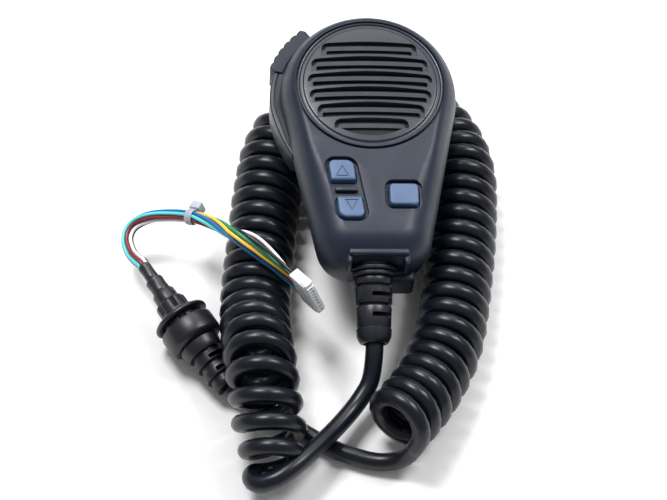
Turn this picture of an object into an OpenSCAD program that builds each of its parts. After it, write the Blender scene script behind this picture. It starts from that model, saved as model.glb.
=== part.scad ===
// Hand microphone with a curly cord, panel grommet and wire plug.
// Millimetres. Origin: centre of the hanger stud's base on the rear case.
// +X right, +Y towards the head, +Z out of the face. The microphone lies head up on its coiled cord.

/* [Case] */
// Radius of the round head
head_r = 29.6; // [29:0.1:31]
// Distance from the hanger stud up to the head's centre
head_y = 26; // [25.5:0.1:26.5]
// Radius of the two lower corners
corner_r = 12; // [11.5:0.1:12.5]
// Half distance between the lower corners' centres
corner_x = 7.2; // [7:0.1:7.6]
// Height of the lower corners' centres below the stud
corner_y = -27; // [-27.4:0.1:-26.8]
// Thickness of the closed case
case_depth = 28; // [27.8:0.1:28.6]
// Height of the joint between the two shells
seam_z = 16; // [15.8:0.1:16.2]
// Wall thickness of the shells
wall = 2.2; // [2:0.1:2.4]

/* [Placing] */
// Angle by which the head lies higher than the cord end
lean = 8; // [6:1:9]
// Angle by which the left edge lies higher than the right one
roll = 3; // [0:1:4]
// Turn of the microphone on the surface
yaw = 1.3; // [0:0.1:2]

/* [Grille] */
// Radius of the round grille
grille_r = 24.1; // [24:0.1:24.3]
// Number of louvre slots
slot_count = 6; // [5:1:6]
// Distance from one louvre slot to the next
slot_pitch = 5.98; // [5.9:0.02:6]

/* [Keys] */
// Travel of the three face keys
key_travel = 0.8; // [0.5:0.1:0.8]
// Gap around each face key
key_gap = 0.35; // [0.3:0.05:0.4]
// Height of the face keys above the case
key_proud = 0.8; // [0.5:0.1:1]

/* [Talk lever] */
// Thickness of the lever across the case's depth
lever_w = 11; // [10:0.5:11]
// Outer radius of the lever round the head
lever_r = 32.9; // [32.5:0.1:33.2]
// Outer radius of the grip pad on the lever
pad_r = 34.8; // [34:0.1:35]
// Number of grip notches in the pad
notch_count = 6; // [4:1:7]

/* [Cord] */
// Diameter of the cord
cord_d = 5.8; // [5.4:0.1:5.8]
// Outside diameter of the coiled stretch
coil_d = 23.6; // [23:0.1:23.6]
// Diameter of each of the eight wires
wire_d = 1.2; // [1.1:0.05:1.2]
// Length of the strain relief on the microphone
boot_l = 24; // [23:0.5:25]

/* [Panel grommet] */
// Radius of the grommet's thin flange
flange_r = 9.4; // [9:0.1:9.5]
// Radius of the groove that the panel sits in
groove_r = 6.5; // [6.2:0.1:6.8]
// Width of the groove that the panel sits in
groove_w = 1.8; // [1.6:0.1:2]
// Radius of the grommet's thick barrel
barrel_r = 9.2; // [9:0.1:9.3]

/* [Hanger stud] */
// Radius of the stud's neck
stud_neck_r = 4; // [3.8:0.1:4.2]
// Length of the stud's neck
stud_neck_l = 3.2; // [3:0.1:3.4]
// Radius of the stud's head
stud_head_r = 7; // [6.5:0.1:7.5]
// Thickness of the stud's head
stud_head_l = 2.6; // [2.4:0.1:2.8]

/* [Hidden] */

$fn = 64;
hair = 0.01;

// Case outline: a head circle and two corner circles joined by straight sides
corner_reach = norm([corner_x, head_y - corner_y]);
side_angle = atan2(head_y - corner_y, -corner_x) - acos((corner_r - head_r) / corner_reach);
side_normal = [cos(side_angle), sin(side_angle)];
corner_steps = 8;
head_steps = 44;

// Shell sections from the seam outwards: height and inset from the widest outline
front_levels = [[seam_z, 0], [seam_z + 3.4, 0.3], [seam_z + 6.4, 1.1], [case_depth - 3.2, 2.3],
    [case_depth - 1.5, 3.5], [case_depth - 0.45, 4.7], [case_depth, 6.2]];
rear_levels = [[0, 7], [1, 5.6], [3, 3.6], [6, 1.9], [10, 0.9], [seam_z, 0.35]];
face_t = 2.2;
face_inner = case_depth - face_t;

// Grille seat in the face
seat_r = grille_r + 0.5;
seat_z = case_depth - 1.5;
sound_r = 21.5;
cloth_t = 0.3;
grille_z = seat_z + cloth_t;
grille_dome = 1;
slot_circle_r = 21;
slot_top = 13.45;
slot_h = 4.4;

// Key outlines: circles [x, y, radius] whose common hull is the key
up_corners = [[-12.4, -6.1, 2.2], [-8.9, -6.9, 3], [-6.3, -11, 0.8], [-13.1, -11, 0.8]];
pair_centre = [-8.8, -14.6];
down_corners = [for (c = up_corners) [2 * pair_centre[0] - c[0], 2 * pair_centre[1] - c[1], c[2]]];
select_centre = [9.6, -16.6];
select_size = [9.7, 8.1];
select_round = 1.6;
select_corners = [for (sx = [-1, 1], sy = [-1, 1])
    [select_centre[0] + sx * (select_size[0] / 2 - select_round),
     select_centre[1] + sy * (select_size[1] / 2 - select_round), select_round]];
up_centre = [-9.7, -8.1];
down_centre = [-7.9, -21.1];
key_top = case_depth + key_proud;
key_flange_z = 23.4;
key_flange_t = 1.4;
key_leg_r = 1.5;

// Boards and switches, counted from the rear face
board_z = 15.2;
board_t = 1.6;
board_inset = 3.4;
board_r = 24.2;
board_side = 20.6;
board_low = -27;
switch_h = 3;
switch_top = board_z + board_t + switch_h;
plunger_r = 1.6;
plunger_top = 21.2;
running_gap = 0.05;

// Screw places in the case
board_screw_at = [[-15.2, -23.5], [15.2, -23.5], [-18.3, -1.5], [18.3, -1.5]];
case_screw_at = [[-9.5, 47.8], [9.5, 47.8], [-12.2, -30.4], [12.2, -30.4]];

// Talk lever: it follows the head's left side and turns about a pin at its lower end
lever_z = seam_z - 9.4;
lever_inner_r = 28.4;
pad_inner_r = 30.2;
pad_to = 162;
lever_from = 128;
lever_to = 180 - side_angle;
lever_straight = 17;
pin_r = 1;
pin_drop = 14.5;
pin_depth = 3;
pin_at = [-(side_normal[0] * (head_r - pin_depth)) + pin_drop * -side_normal[1],
          head_y + side_normal[1] * (head_r - pin_depth) - pin_drop * side_normal[0]];
seal_r = 25.8;
talk_angle = 170;
talk_dir = [-cos(talk_angle), -sin(talk_angle)];

// Strain relief on the microphone: axis through the case's lower wall
boot_at = [0, -37, 13.5];
boot_droop = 14;
boot_hole_r = 5.3;
boot_mouth = 4;

// Clamp plate that holds the cord inside the case
inner_d = 4.6;
clamp_x = 6;
clamp_y = -24.8;
clamp_z = 9.8;

// Placed position of a point given in the microphone's own frame
function turn_z(p, a) = [p[0] * cos(a) - p[1] * sin(a), p[0] * sin(a) + p[1] * cos(a), p[2]];
function turn_y(p, a) = [p[0] * cos(a) + p[2] * sin(a), p[1], p[2] * cos(a) - p[0] * sin(a)];
function turn_x(p, a) = [p[0], p[1] * cos(a) - p[2] * sin(a), p[1] * sin(a) + p[2] * cos(a)];
function placed(p) = turn_x(turn_y(turn_z(p, yaw), roll), lean);
boot_out = [0, -cos(boot_droop), -sin(boot_droop)];
boot_end = placed(boot_at + (boot_l - boot_mouth) * boot_out);
boot_dir = placed(boot_out);

// Cord from the strain relief down to the coil's lower end, passing over the other tail
mic_tail_route = [boot_end, boot_end + (boot_mouth + 3) * boot_dir, [0.6, -70.5, -6.6], [-2.2, -75.5, -8.6],
    [-6, -81, -9.2], [-11, -87.5, -8.8], [-16.5, -93.8, -7.8], [-22.5, -100.2, -6.4],
    [-28.5, -105.6, -5.4], [-33, -106.8, -5.6], [-35.6, -105.2, -7], [-36.2, -102.4, -9.4]];

// Middle line of the coiled stretch: up the left side, round under the head, down the right side.
// Past coil_rest_y it lies on the floor. Under the head it is pulled out, so it is thinner and lower.
floor_z = -18;
coil_rest_y = 5;
coil_route = [[-29.2, -102, -6.2], [-30.4, -94, -4.2], [-31.8, -86, -1.4], [-33, -78.3, 1],
    [-34.4, -68.4, 1], [-35.8, -58.2, -1.7], [-36.6, -47, -5], [-36.5, -34, -6.2], [-35.4, -18, -6.2],
    [-34.4, -3, -6.2], [-33.2, 9, -6.2], [-31.8, 20, -6.4], [-28.6, 31.6, -7.4], [-21, 41.8, -8.6],
    [-11.6, 49, -9], [0, 51.4, -9], [11.4, 49, -9], [21.6, 42, -8.4], [27.8, 32.4, -7.6],
    [31.4, 21.6, -6.8], [32.8, 10, -6.2], [32.6, -2, -6.2], [31.4, -18, -6.2], [29.4, -34, -6.2],
    [27, -50, -6.2], [24.2, -61, -5.8], [20, -71, -5], [15, -80.6, -3.4], [8.8, -91, -0.9]];

// Panel grommet: flange centre, and the axis that points towards the wires
grommet_at = [-60.8, -46.8, -7.4];
grommet_heading = 124.7;
grommet_slope = 9;
grommet_dir = [cos(grommet_heading) * cos(grommet_slope), sin(grommet_heading) * cos(grommet_slope),
    sin(grommet_slope)];
relief_l = 28.4;
collar_l = 11.3;
large_sleeve_l = 5.7;
small_sleeve_l = 6.3;
relief_end = grommet_at - relief_l * grommet_dir;
sleeve_end = grommet_at + (collar_l + large_sleeve_l + small_sleeve_l) * grommet_dir;

// Cord from the coil's other end, under the first tail and the coil, to the panel grommet
radio_tail_route = [[16, -95.4, -5.6], [15.6, -98, -9.4], [12.4, -99.2, -12.4], [7, -97.8, -14.4],
    [0, -94.6, -15], [-7, -91, -15], [-15, -87, -15], [-21.6, -82.8, -15], [-28.4, -78.2, -15],
    [-36.6, -75, -14.5], relief_end];

// Wires: common route from the sleeve, over the coil, to where they spread
bundle_route = [sleeve_end + 0.9 * grommet_dir, [-78.2, -22, -5.6], [-80.2, -16, -5.6],
    [-78.6, -11.6, -4.2], [-73.4, -10, -1.6], [-66, -11, 1.2], [-58.2, -13.6, 3.9], [-51, -18.4, 7.1],
    [-44.6, -24.9, 10.6], [-38.6, -31.3, 12.5]];
// Turn of the bundle at each of those places, in degrees
bundle_turn = [90, 90, 90, 68, 45, 22, 0, -70, -140, -210];
tie_index = 6;
wire_count = 8;
ring_wires = wire_count - 1;
ring_r = 1.56;
ring_from = 154;
wire_pitch = 1.5;
spread_steps = 8;

// Plug: corner of the wire side, its long edge, the way it mates, and its thickness
plug_at = [-25.5, -43.4, 13.1];
plug_along = unit([0.30, -0.07, -0.95]);
plug_mate = [0.58, -0.78, 0.24];
plug_out = unit(plug_mate - (plug_mate * plug_along) * plug_along);
plug_side = cross(plug_out, plug_along);
plug_l = 13.5;
plug_d = 9.4;
plug_t = 3.6;

case_black = [0.16, 0.17, 0.20];
rubber_black = [0.10, 0.10, 0.12];
key_grey = [0.42, 0.48, 0.60];
steel = [0.75, 0.76, 0.78];
board_green = [0.10, 0.35, 0.20];
cord_black = [0.12, 0.13, 0.15];
nylon_white = [0.90, 0.91, 0.93];

// ---- shared shapes ----

module placed_mic() {
    rotate([lean, 0, 0]) rotate([0, roll, 0]) rotate([0, 0, yaw]) children();
}

// Case outline as points, drawn in from the widest one
function arc_points(centre, r, from, to, steps) = [for (i = [0 : steps])
    let (a = from + (to - from) * i / steps) centre + r * [cos(a), sin(a)]];
function outline_points(inset) = concat(
    arc_points([corner_x, corner_y], corner_r - inset, -90, side_angle, corner_steps),
    arc_points([0, head_y], head_r - inset, side_angle, 180 - side_angle, head_steps),
    arc_points([-corner_x, corner_y], corner_r - inset, 180 - side_angle, 270, corner_steps));
module outline(inset) {
    polygon(outline_points(inset));
}

// Closed solid through a list of equal rings of points, first ring at the bottom or start
module skin(rings) {
    count = len(rings[0]);
    last = len(rings) - 1;
    polyhedron(points = [for (ring = rings) each ring],
        faces = concat(
            [[for (i = [0 : count - 1]) i]],
            [for (k = [0 : last - 1], i = [0 : count - 1])
                let (j = (i + 1) % count) [k * count + i, (k + 1) * count + i, (k + 1) * count + j]],
            [for (k = [0 : last - 1], i = [0 : count - 1])
                let (j = (i + 1) % count) [k * count + i, (k + 1) * count + j, k * count + j]],
            [[for (i = [0 : count - 1]) last * count + count - 1 - i]]));
}

module shell_body(levels) {
    skin([for (level = levels) [for (p = outline_points(level[1])) [p[0], p[1], level[0]]]]);
}

// Round tube along a list of points, with flat ends
function unit(v) = v / norm(v);
function tangent(route, k) = unit(route[min(k + 1, len(route) - 1)] - route[max(k - 1, 0)]);
function sideways(t) = unit(cross(t, [0, 0, 1]));
function ring_at(p, t, r, sides) = [for (i = [0 : sides - 1])
    let (a = 360 * i / sides, s = sideways(t), u = cross(s, t))
    p + r * cos(a) * s + r * sin(a) * u];
module tube(route, d, sides) {
    skin([for (k = [0 : len(route) - 1]) ring_at(route[k], tangent(route, k), d / 2, sides)]);
}

// Wedge of a ring round the head's centre
module head_sector(inner, outer, from, to) {
    reach = outer * 1.5;
    middle = (from + to) / 2;
    translate([0, head_y]) intersection() {
        difference() {
            circle(r = outer, $fn = 96);
            circle(r = inner, $fn = 96);
        }
        polygon([[0, 0], reach * [cos(from), sin(from)], reach * [cos(middle), sin(middle)],
            reach * [cos(to), sin(to)]]);
    }
}

module block(low, high) {
    translate(low) cube(high - low);
}

module key_outline(corners, grow) {
    hull() for (c = corners) translate([c[0], c[1]]) circle(r = c[2] + grow, $fn = 32);
}

module along_boot() {
    translate(boot_at) rotate([90 + boot_droop, 0, 0]) children();
}

module along_grommet() {
    translate(grommet_at) rotate([0, 0, grommet_heading]) rotate([0, 90 - grommet_slope, 0]) children();
}

// ---- case ----

// Room for the strain relief: its inner flange, its neck in the wall and its outer end
module boot_room() {
    along_boot() {
        cylinder(r = boot_hole_r, h = 30, center = true);
        translate([0, 0, -12]) cylinder(r = 7.6, h = 11.5);
        translate([0, 0, 2.8]) cylinder(r = 6.3, h = 12);
    }
}

// Room for the talk lever in the side of both shells
module lever_room(z0, z1, margin) {
    translate([0, 0, z0]) linear_extrude(z1 - z0) {
        head_sector(seal_r + 0.4, 40, lever_from - 3.8 - margin, lever_to + 0.5);
        side_strip(-(head_r - seal_r - 0.4), 12, -0.5, lever_straight + 1.4);
        translate(pin_at) circle(r = 2.9);
    }
}

// Strip along the straight left side: from depth d0 to d1 off the outline, s0 to s1 down from the head
module side_strip(d0, d1, s0, s1) {
    start = [-side_normal[0] * head_r, head_y + side_normal[1] * head_r];
    out = [-side_normal[0], side_normal[1]];
    down = [-side_normal[1], -side_normal[0]];
    polygon([start + d0 * out + s0 * down, start + d1 * out + s0 * down,
        start + d1 * out + s1 * down, start + d0 * out + s1 * down]);
}

module front_case() placed_mic() color(case_black) {
    collar_x = 9.6;
    difference() {
        union() {
            shell_body(front_levels);
            block([-collar_x + 1, -40.2, seam_z], [collar_x + 1, -34, 23.4]);
        }
        translate([0, 0, seam_z - 1]) linear_extrude(8) outline(wall);
        translate([0, 0, seam_z + 1]) linear_extrude(face_inner - seam_z - 1) outline(wall + 2.2);
        translate([0, head_y - 1, seat_z]) cylinder(r = seat_r, h = 9, $fn = 96);
        translate([0, head_y - 1, 20]) cylinder(r = sound_r, h = 9, $fn = 96);
        translate([0, 0, face_inner - 2]) linear_extrude(9) key_outline(select_corners, key_gap);
        translate([0, 0, face_inner - 2]) linear_extrude(9) key_outline(up_corners, key_gap);
        translate([0, 0, face_inner - 2]) linear_extrude(9) key_outline(down_corners, key_gap);
        lever_room(seam_z - 1, seam_z + 2.2, 0);
        boot_room();
    }
    for (at = board_screw_at) difference() {
        translate([at[0], at[1], board_z + board_t])
            cylinder(r = 2.3, h = face_inner - board_z - board_t + 0.3);
        translate([at[0], at[1], 0]) cylinder(r = 0.85, h = 24);
    }
    for (at = case_screw_at) difference() {
        translate([at[0], at[1], seam_z]) cylinder(r = 2.5, h = face_inner - seam_z + 0.3);
        translate([at[0], at[1], 0]) cylinder(r = 1, h = 24);
    }
    difference() {
        translate([pin_at[0], pin_at[1], seam_z + 2.2]) cylinder(r = 2.3, h = face_inner - seam_z - 1.9);
        translate([pin_at[0], pin_at[1], 0]) cylinder(r = pin_r, h = seam_z + 4.4);
    }
}

module rear_case() placed_mic() color(case_black) {
    difference() {
        union() {
            difference() {
                union() {
                    shell_body(rear_levels);
                    block([-6.4, -41.6, 2.2], [13, -33, 13]);
                }
                translate([0, 0, wall]) linear_extrude(seam_z) outline(5.5);
                translate([0, 0, 6]) linear_extrude(seam_z) outline(3.6);
                translate([0, 0, 9]) linear_extrude(seam_z) outline(2.4);
                translate([0, 0, seam_z - 0.8]) linear_extrude(2) difference() {
                    outline(0.85);
                    outline(1.75);
                }
            }
            intersection() {
                shell_body(rear_levels);
                for (at = case_screw_at)
                    translate([at[0], at[1], 0.4]) cylinder(r = 2.9, h = seam_z - 0.4);
            }
            translate([0, 0, 1]) cylinder(r = 4, h = 7);
            translate([pin_at[0], pin_at[1], 1.6]) cylinder(r = 2.3, h = lever_z - 0.4 - 1.6);
            for (side = [-1, 1]) translate([side * clamp_x, clamp_y, 1.6])
                cylinder(r = 2.2, h = clamp_z - 1.6);
        }
        for (at = case_screw_at) {
            translate([at[0], at[1], -1]) cylinder(r = 1.3, h = 30);
            translate([at[0], at[1], -1]) cylinder(r = 2.3, h = 7);
        }
        translate([0, 0, -1]) cylinder(r = 1.5, h = 12);
        for (side = [-1, 1]) translate([side * clamp_x, clamp_y, 3.4]) cylinder(r = 1, h = 20);
        translate([pin_at[0], pin_at[1], 3]) cylinder(r = pin_r, h = 20);
        lever_room(lever_z - 0.4, seam_z + 1, 0);
        boot_room();
    }
}

module case_seal() placed_mic() color(rubber_black) {
    difference() {
        translate([0, 0, seam_z - 0.8]) linear_extrude(0.8) difference() {
            outline(0.9);
            outline(1.7);
        }
        lever_room(seam_z - 2, seam_z + 1, 0.3);
        along_boot() cylinder(r = boot_hole_r + 0.3, h = 30, center = true);
    }
}

module case_screws() placed_mic() color(steel) {
    for (at = case_screw_at) translate([at[0], at[1], 0]) difference() {
        union() {
            translate([0, 0, 4]) cylinder(r = 2, h = 2);
            translate([0, 0, 6]) cylinder(r = 1, h = 15);
        }
        translate([0, 0, 3]) cylinder(r = 0.9, h = 2, $fn = 6);
    }
}

// ---- grille and microphone capsule ----

// Width of a louvre slot whose middle lies y above the grille's centre
function slot_w(y) = 2 * sqrt(pow(slot_circle_r, 2) - pow(y - 0.7, 2));

module grille() placed_mic() color(case_black) {
    top = 1.1 + grille_dome;
    translate([0, head_y - 1, grille_z]) difference() {
        rotate_extrude($fn = 96) polygon([[0, 0], [grille_r, 0], [grille_r, 0.8], [grille_r - 0.5, 1.2],
            [18, top - 0.5 * grille_dome], [11, top - 0.18 * grille_dome], [4, top], [0, top]]);
        for (k = [0 : slot_count - 1]) {
            y = slot_top - k * slot_pitch;
            w = slot_w(y);
            block([-w / 2, y + 0.7, -1], [w / 2, y + slot_h / 2, 5]);
            block([-w / 2 + 1.4, y - slot_h / 2, -1], [w / 2 - 1.4, y - 0.5, 5]);
        }
    }
}

module grille_cloth() placed_mic() color(rubber_black)
    translate([0, head_y - 1, seat_z]) cylinder(r = grille_r, h = cloth_t, $fn = 96);

module mic_holder() placed_mic() color(rubber_black)
    translate([0, head_y - 1, 0]) difference() {
        translate([0, 0, board_z + board_t]) cylinder(r = 8.4, h = seat_z - board_z - board_t);
        translate([0, 0, 19.2]) cylinder(r = 5, h = 20);
        translate([0, 0, 10]) cylinder(r = 1.6, h = 20);
    }

module mic_capsule() placed_mic() color(steel)
    translate([0, head_y - 1, 19.2]) difference() {
        cylinder(r = 4.95, h = 5.8);
        for (a = [0 : 60 : 300]) rotate(a) translate([2.4, 0, 5]) cylinder(r = 0.5, h = 2);
    }

// ---- face keys ----

module face_key(corners, centre) {
    translate([0, 0, key_flange_z + key_flange_t])
        linear_extrude(key_top - key_flange_z - key_flange_t) key_outline(corners, 0);
    translate([0, 0, key_flange_z]) linear_extrude(key_flange_t) key_outline(corners, 0.75);
    translate([centre[0], centre[1], plunger_top])
        cylinder(r = key_leg_r, h = key_flange_z - plunger_top + hair);
}

module face_plunger(centre) {
    translate([centre[0], centre[1], switch_top - 1.2])
        cylinder(r = plunger_r, h = plunger_top - switch_top + 1.2);
}

module up_key() placed_mic() color(key_grey) face_key(up_corners, up_centre);
module down_key() placed_mic() color(key_grey) face_key(down_corners, down_centre);
module select_key() placed_mic() color(key_grey) face_key(select_corners, select_centre);
module up_plunger() placed_mic() color(rubber_black) face_plunger(up_centre);
module down_plunger() placed_mic() color(rubber_black) face_plunger(down_centre);
module select_plunger() placed_mic() color(rubber_black) face_plunger(select_centre);

// Dust mat below the keys, open round each key's leg
module key_mat() placed_mic() color(rubber_black)
    translate([0, 0, 21.5]) linear_extrude(0.7) difference() {
        translate([-12.8, -24.4]) square([25.6, 20.4]);
        for (at = [up_centre, down_centre, select_centre]) translate(at) circle(r = key_leg_r + 0.6);
    }

// ---- circuit board and what is on it ----

module key_switches() placed_mic() color(steel)
    for (at = [up_centre, down_centre, select_centre]) difference() {
        translate([at[0] - 3, at[1] - 3, board_z + board_t]) cube([6, 6, switch_h]);
        translate([at[0], at[1], switch_top - 2.2]) cylinder(r = plunger_r + running_gap, h = 3);
    }

module circuit_board() placed_mic() color(board_green)
    translate([0, 0, board_z]) linear_extrude(board_t) difference() {
        intersection() {
            outline(board_inset);
            union() {
                translate([0, head_y]) circle(r = board_r, $fn = 96);
                translate([-board_side, board_low]) square([2 * board_side, head_y - board_low - 2]);
            }
        }
        translate([0, head_y - 1]) circle(r = 1.6);
        for (at = board_screw_at) translate(at) circle(r = 1.1);
        for (x = [-9.5, 9.5]) translate([x, 47.8]) circle(r = 3.5);
        translate(pin_at) circle(r = 3.6);
    }

module board_screws() placed_mic() color(steel)
    for (at = board_screw_at) translate([at[0], at[1], 0]) {
        translate([0, 0, board_z - 1.4]) cylinder(r = 1.9, h = 1.4);
        translate([0, 0, board_z - hair]) cylinder(r = 0.85, h = 7);
    }

// Eight-way socket that the inner cord's wires plug into
module cord_socket() placed_mic() color(nylon_white)
    difference() {
        block([-9, -18.5, board_z - 6], [9, -13.5, board_z]);
        block([-8, -19, board_z - 5], [8, -14.5, board_z - 1]);
    }

// Short jacketed length inside the case, up to the socket
module inner_cord() placed_mic() color(cord_black)
    tube([boot_at - 2.9 * boot_out, boot_at - 4 * boot_out, [0, -31.8, 12.6], [0, -30.2, 9.8],
        [0, -28.4, 7.4], [0, -26.6, 6.9], [0, -22.8, 6.9], [0, -21.2, 8.4], [0, -20.1, 10.4]],
        inner_d, 8);

module boot_clamp() placed_mic() color(steel)
    difference() {
        block([-8.4, clamp_y - 2, clamp_z], [8.4, clamp_y + 2, clamp_z + 1.4]);
        for (side = [-1, 1]) translate([side * clamp_x, clamp_y, 0]) cylinder(r = 1.1, h = 20);
    }

module clamp_screws() placed_mic() color(steel)
    for (side = [-1, 1]) translate([side * clamp_x, clamp_y, 0]) {
        translate([0, 0, clamp_z + 1.4]) cylinder(r = 1.9, h = 1.3);
        translate([0, 0, 3.4]) cylinder(r = 1, h = clamp_z - 1.9);
    }

// ---- talk lever ----

module lever_outline() {
    head_sector(lever_inner_r, lever_r, lever_from, lever_to + 0.2);
    start = [-side_normal[0] * head_r, head_y + side_normal[1] * head_r];
    out = [-side_normal[0], side_normal[1]];
    down = [-side_normal[1], -side_normal[0]];
    thick = lever_r - head_r;
    polygon([start + (lever_inner_r - head_r) * out, start + thick * out,
        start + 0.6 * thick * out + 0.6 * lever_straight * down,
        start + 0.1 * out + lever_straight * down,
        start - 1.4 * out + lever_straight * down,
        start + (lever_inner_r - head_r) * out + (pin_drop - 2) * down]);
}

module talk_lever() placed_mic() color(case_black)
    translate([0, 0, lever_z]) linear_extrude(lever_w) difference() {
        union() {
            difference() {
                lever_outline();
                head_sector(pad_inner_r, 40, lever_from - 2, pad_to);
            }
            difference() {
                translate(pin_at) circle(r = 2.3);
                side_strip(-0.6, 10, 0, 30);
            }
            ear();
        }
        translate(pin_at) circle(r = pin_r + running_gap);
    }

// Ear that joins the lever to its pin
module ear() {
    side_strip(-pin_depth, -0.8, pin_drop - 2.3, pin_drop + 2.3);
}

// Ribbed rubber pad moulded on the lever's upper end
module grip_pad() placed_mic() color(rubber_black)
    translate([0, 0, lever_z]) linear_extrude(lever_w) difference() {
        head_sector(pad_inner_r, pad_r, lever_from, pad_to);
        translate([0, head_y]) for (k = [1 : notch_count])
            rotate(lever_from + k * (pad_to - lever_from) / (notch_count + 1))
                translate([pad_r + 0.2, 0]) circle(r = 0.7, $fn = 24);
    }

module lever_pin() placed_mic() color(steel)
    translate([pin_at[0], pin_at[1], 3]) cylinder(r = pin_r, h = seam_z + 1.4);

// Rubber curtain that closes the case behind the lever
module lever_seal() placed_mic() color(rubber_black)
    difference() {
        translate([0, 0, lever_z - 0.5]) linear_extrude(lever_w + 2.3)
            head_sector(seal_r - 1.2, seal_r, lever_from - 4, lever_to);
        talk_axis() cylinder(r = 1.7, h = 60);
    }

// Line through the lever's side of the plunger, pointing into the case
module talk_axis() {
    translate([0, head_y, lever_z + lever_w / 2]) rotate([0, 0, talk_angle]) rotate([0, 90, 0]) children();
}

module talk_plunger() placed_mic() color(nylon_white)
    talk_axis() translate([0, 0, 22.4]) cylinder(r = 1.2, h = lever_inner_r - 22.4 - 0.05);

module talk_switch() placed_mic() color(rubber_black)
    difference() {
        talk_axis() translate([-3.1, -6, 18]) cube([6.2, 12, 5.6]);
        talk_axis() translate([0, 0, 20]) cylinder(r = 1.2 + running_gap, h = 30);
    }

// ---- hanger stud ----

module hanger_stud() placed_mic() color(steel)
    difference() {
        union() {
            translate([0, 0, -stud_neck_l]) cylinder(r = stud_neck_r, h = stud_neck_l);
            translate([0, 0, -stud_neck_l - stud_head_l]) cylinder(r = stud_head_r, h = stud_head_l);
        }
        translate([0, 0, -20]) cylinder(r = 1.5, h = 30);
        translate([0, 0, -stud_neck_l - stud_head_l - hair]) cylinder(r = 3.2, h = 1.8);
    }

module hanger_screw() placed_mic() color(steel)
    translate([0, 0, -stud_neck_l - stud_head_l]) difference() {
        union() {
            translate([0, 0, 0.3]) cylinder(r = 3, h = 1.49);
            translate([0, 0, 1.79]) cylinder(r = 1.5, h = 12);
        }
        block([-2.4, -0.4, -1], [2.4, 0.4, 1]);
        block([-0.4, -2.4, -1], [0.4, 2.4, 1]);
    }

// ---- strain relief ----

module cord_boot() placed_mic() color(rubber_black)
    along_boot() difference() {
        rotate_extrude($fn = 48) difference() {
            polygon([[0, -2.8], [7.4, -2.8], [7.4, -0.6], [5.25, -0.6], [5.25, 2.9], [6.2, 2.9], [6.1, 4.8],
                [5.5, 4.8], [5.5, 5.8], [6.1, 5.8], [5.9, 11.2], [5.2, 11.2], [5.2, 12.2], [5.8, 12.2],
                [5.4, 18.8], [5.6, 19.2], [5.3, boot_l - 1.6], [4.4, boot_l], [0, boot_l]]);
            translate([0, boot_l - boot_mouth]) square([cord_d / 2 + 0.5, boot_mouth + 1]);
        }
        for (s = [7.9, 14.4]) block([0, 0, s], [9, 9, s + 1.4]);
    }

// ---- curly cord ----

module mic_tail() color(cord_black) tube(mic_tail_route, cord_d, 12);
function coil_r(p) = p[1] > coil_rest_y ? p[2] - floor_z : coil_d / 2;
module curly_cord() color(cord_black)
    skin([for (k = [0 : len(coil_route) - 1])
        ring_at(coil_route[k], tangent(coil_route, k), coil_r(coil_route[k]), 16)]);
module radio_tail() color(cord_black) tube(radio_tail_route, cord_d, 12);

// ---- panel grommet ----

module panel_grommet() color(rubber_black)
    along_grommet() {
        rotate_extrude($fn = 64) polygon([[0, 0.9], [flange_r - 0.6, 0.9], [flange_r, 0.3],
            [flange_r, -0.3], [flange_r - 0.6, -0.9], [groove_r, -0.9], [groove_r, -0.9 - groove_w],
            [barrel_r - 0.5, -0.9 - groove_w], [barrel_r, -1.4 - groove_w], [barrel_r, -9],
            [barrel_r - 1.4, -10.4], [6.4, -10.4], [6.2, -14.9], [4.8, -14.9], [4.8, -16.4], [5.8, -16.4],
            [5.7, -19.3], [4.6, -19.3], [4.6, -21], [5.4, -21], [5.2, -24.2], [4.2, -24.2], [4.2, -26],
            [4.6, -26], [4.2, -relief_l], [0, -relief_l]]);
    }

module clamp_collar() color(rubber_black)
    along_grommet() difference() {
        rotate_extrude($fn = 48) polygon([[0, 0.9], [5.6, 0.9], [5.2, 4], [5.2, 7.4], [4, 7.4],
            [3.8, collar_l], [0, collar_l]]);
        for (a = [0 : 60 : 300]) rotate(a) translate([6.3, 0, 3.4]) cylinder(r = 1.8, h = 5);
    }

module large_sleeve() color(rubber_black)
    along_grommet() translate([0, 0, collar_l]) cylinder(r = 3.1, h = large_sleeve_l);

module small_sleeve() color(rubber_black)
    along_grommet() translate([0, 0, collar_l + large_sleeve_l]) cylinder(r = 2.2, h = small_sleeve_l);

// ---- wires and plug ----

// Point on a smooth curve through a route, t counted in places along it
function between(list, t) = let (i = min(floor(t), len(list) - 2))
    list[i] + (t - i) * (list[i + 1] - list[i]);
function smooth_at(route, t) = let (i = min(floor(t), len(route) - 2), f = t - i,
    a = route[max(i - 1, 0)], b = route[i], c = route[i + 1], d = route[min(i + 2, len(route) - 1)])
    0.5 * (2 * b + (c - a) * f + (2 * a - 5 * b + 4 * c - d) * f * f + (3 * b - a - 3 * c + d) * pow(f, 3));

// Place of a wire in the bundle: the last one in the middle and the rest round it
function bundle_point(t, i) = let (last = len(bundle_route) - 1, p = smooth_at(bundle_route, t),
    way = unit(smooth_at(bundle_route, min(t + 0.25, last)) - smooth_at(bundle_route, max(t - 0.25, 0))),
    s = sideways(way), u = cross(s, way), r = i == ring_wires ? 0 : ring_r,
    a = ring_from - 360 * i / ring_wires + between(bundle_turn, t))
    p + r * cos(a) * s + r * sin(a) * u;
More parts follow.
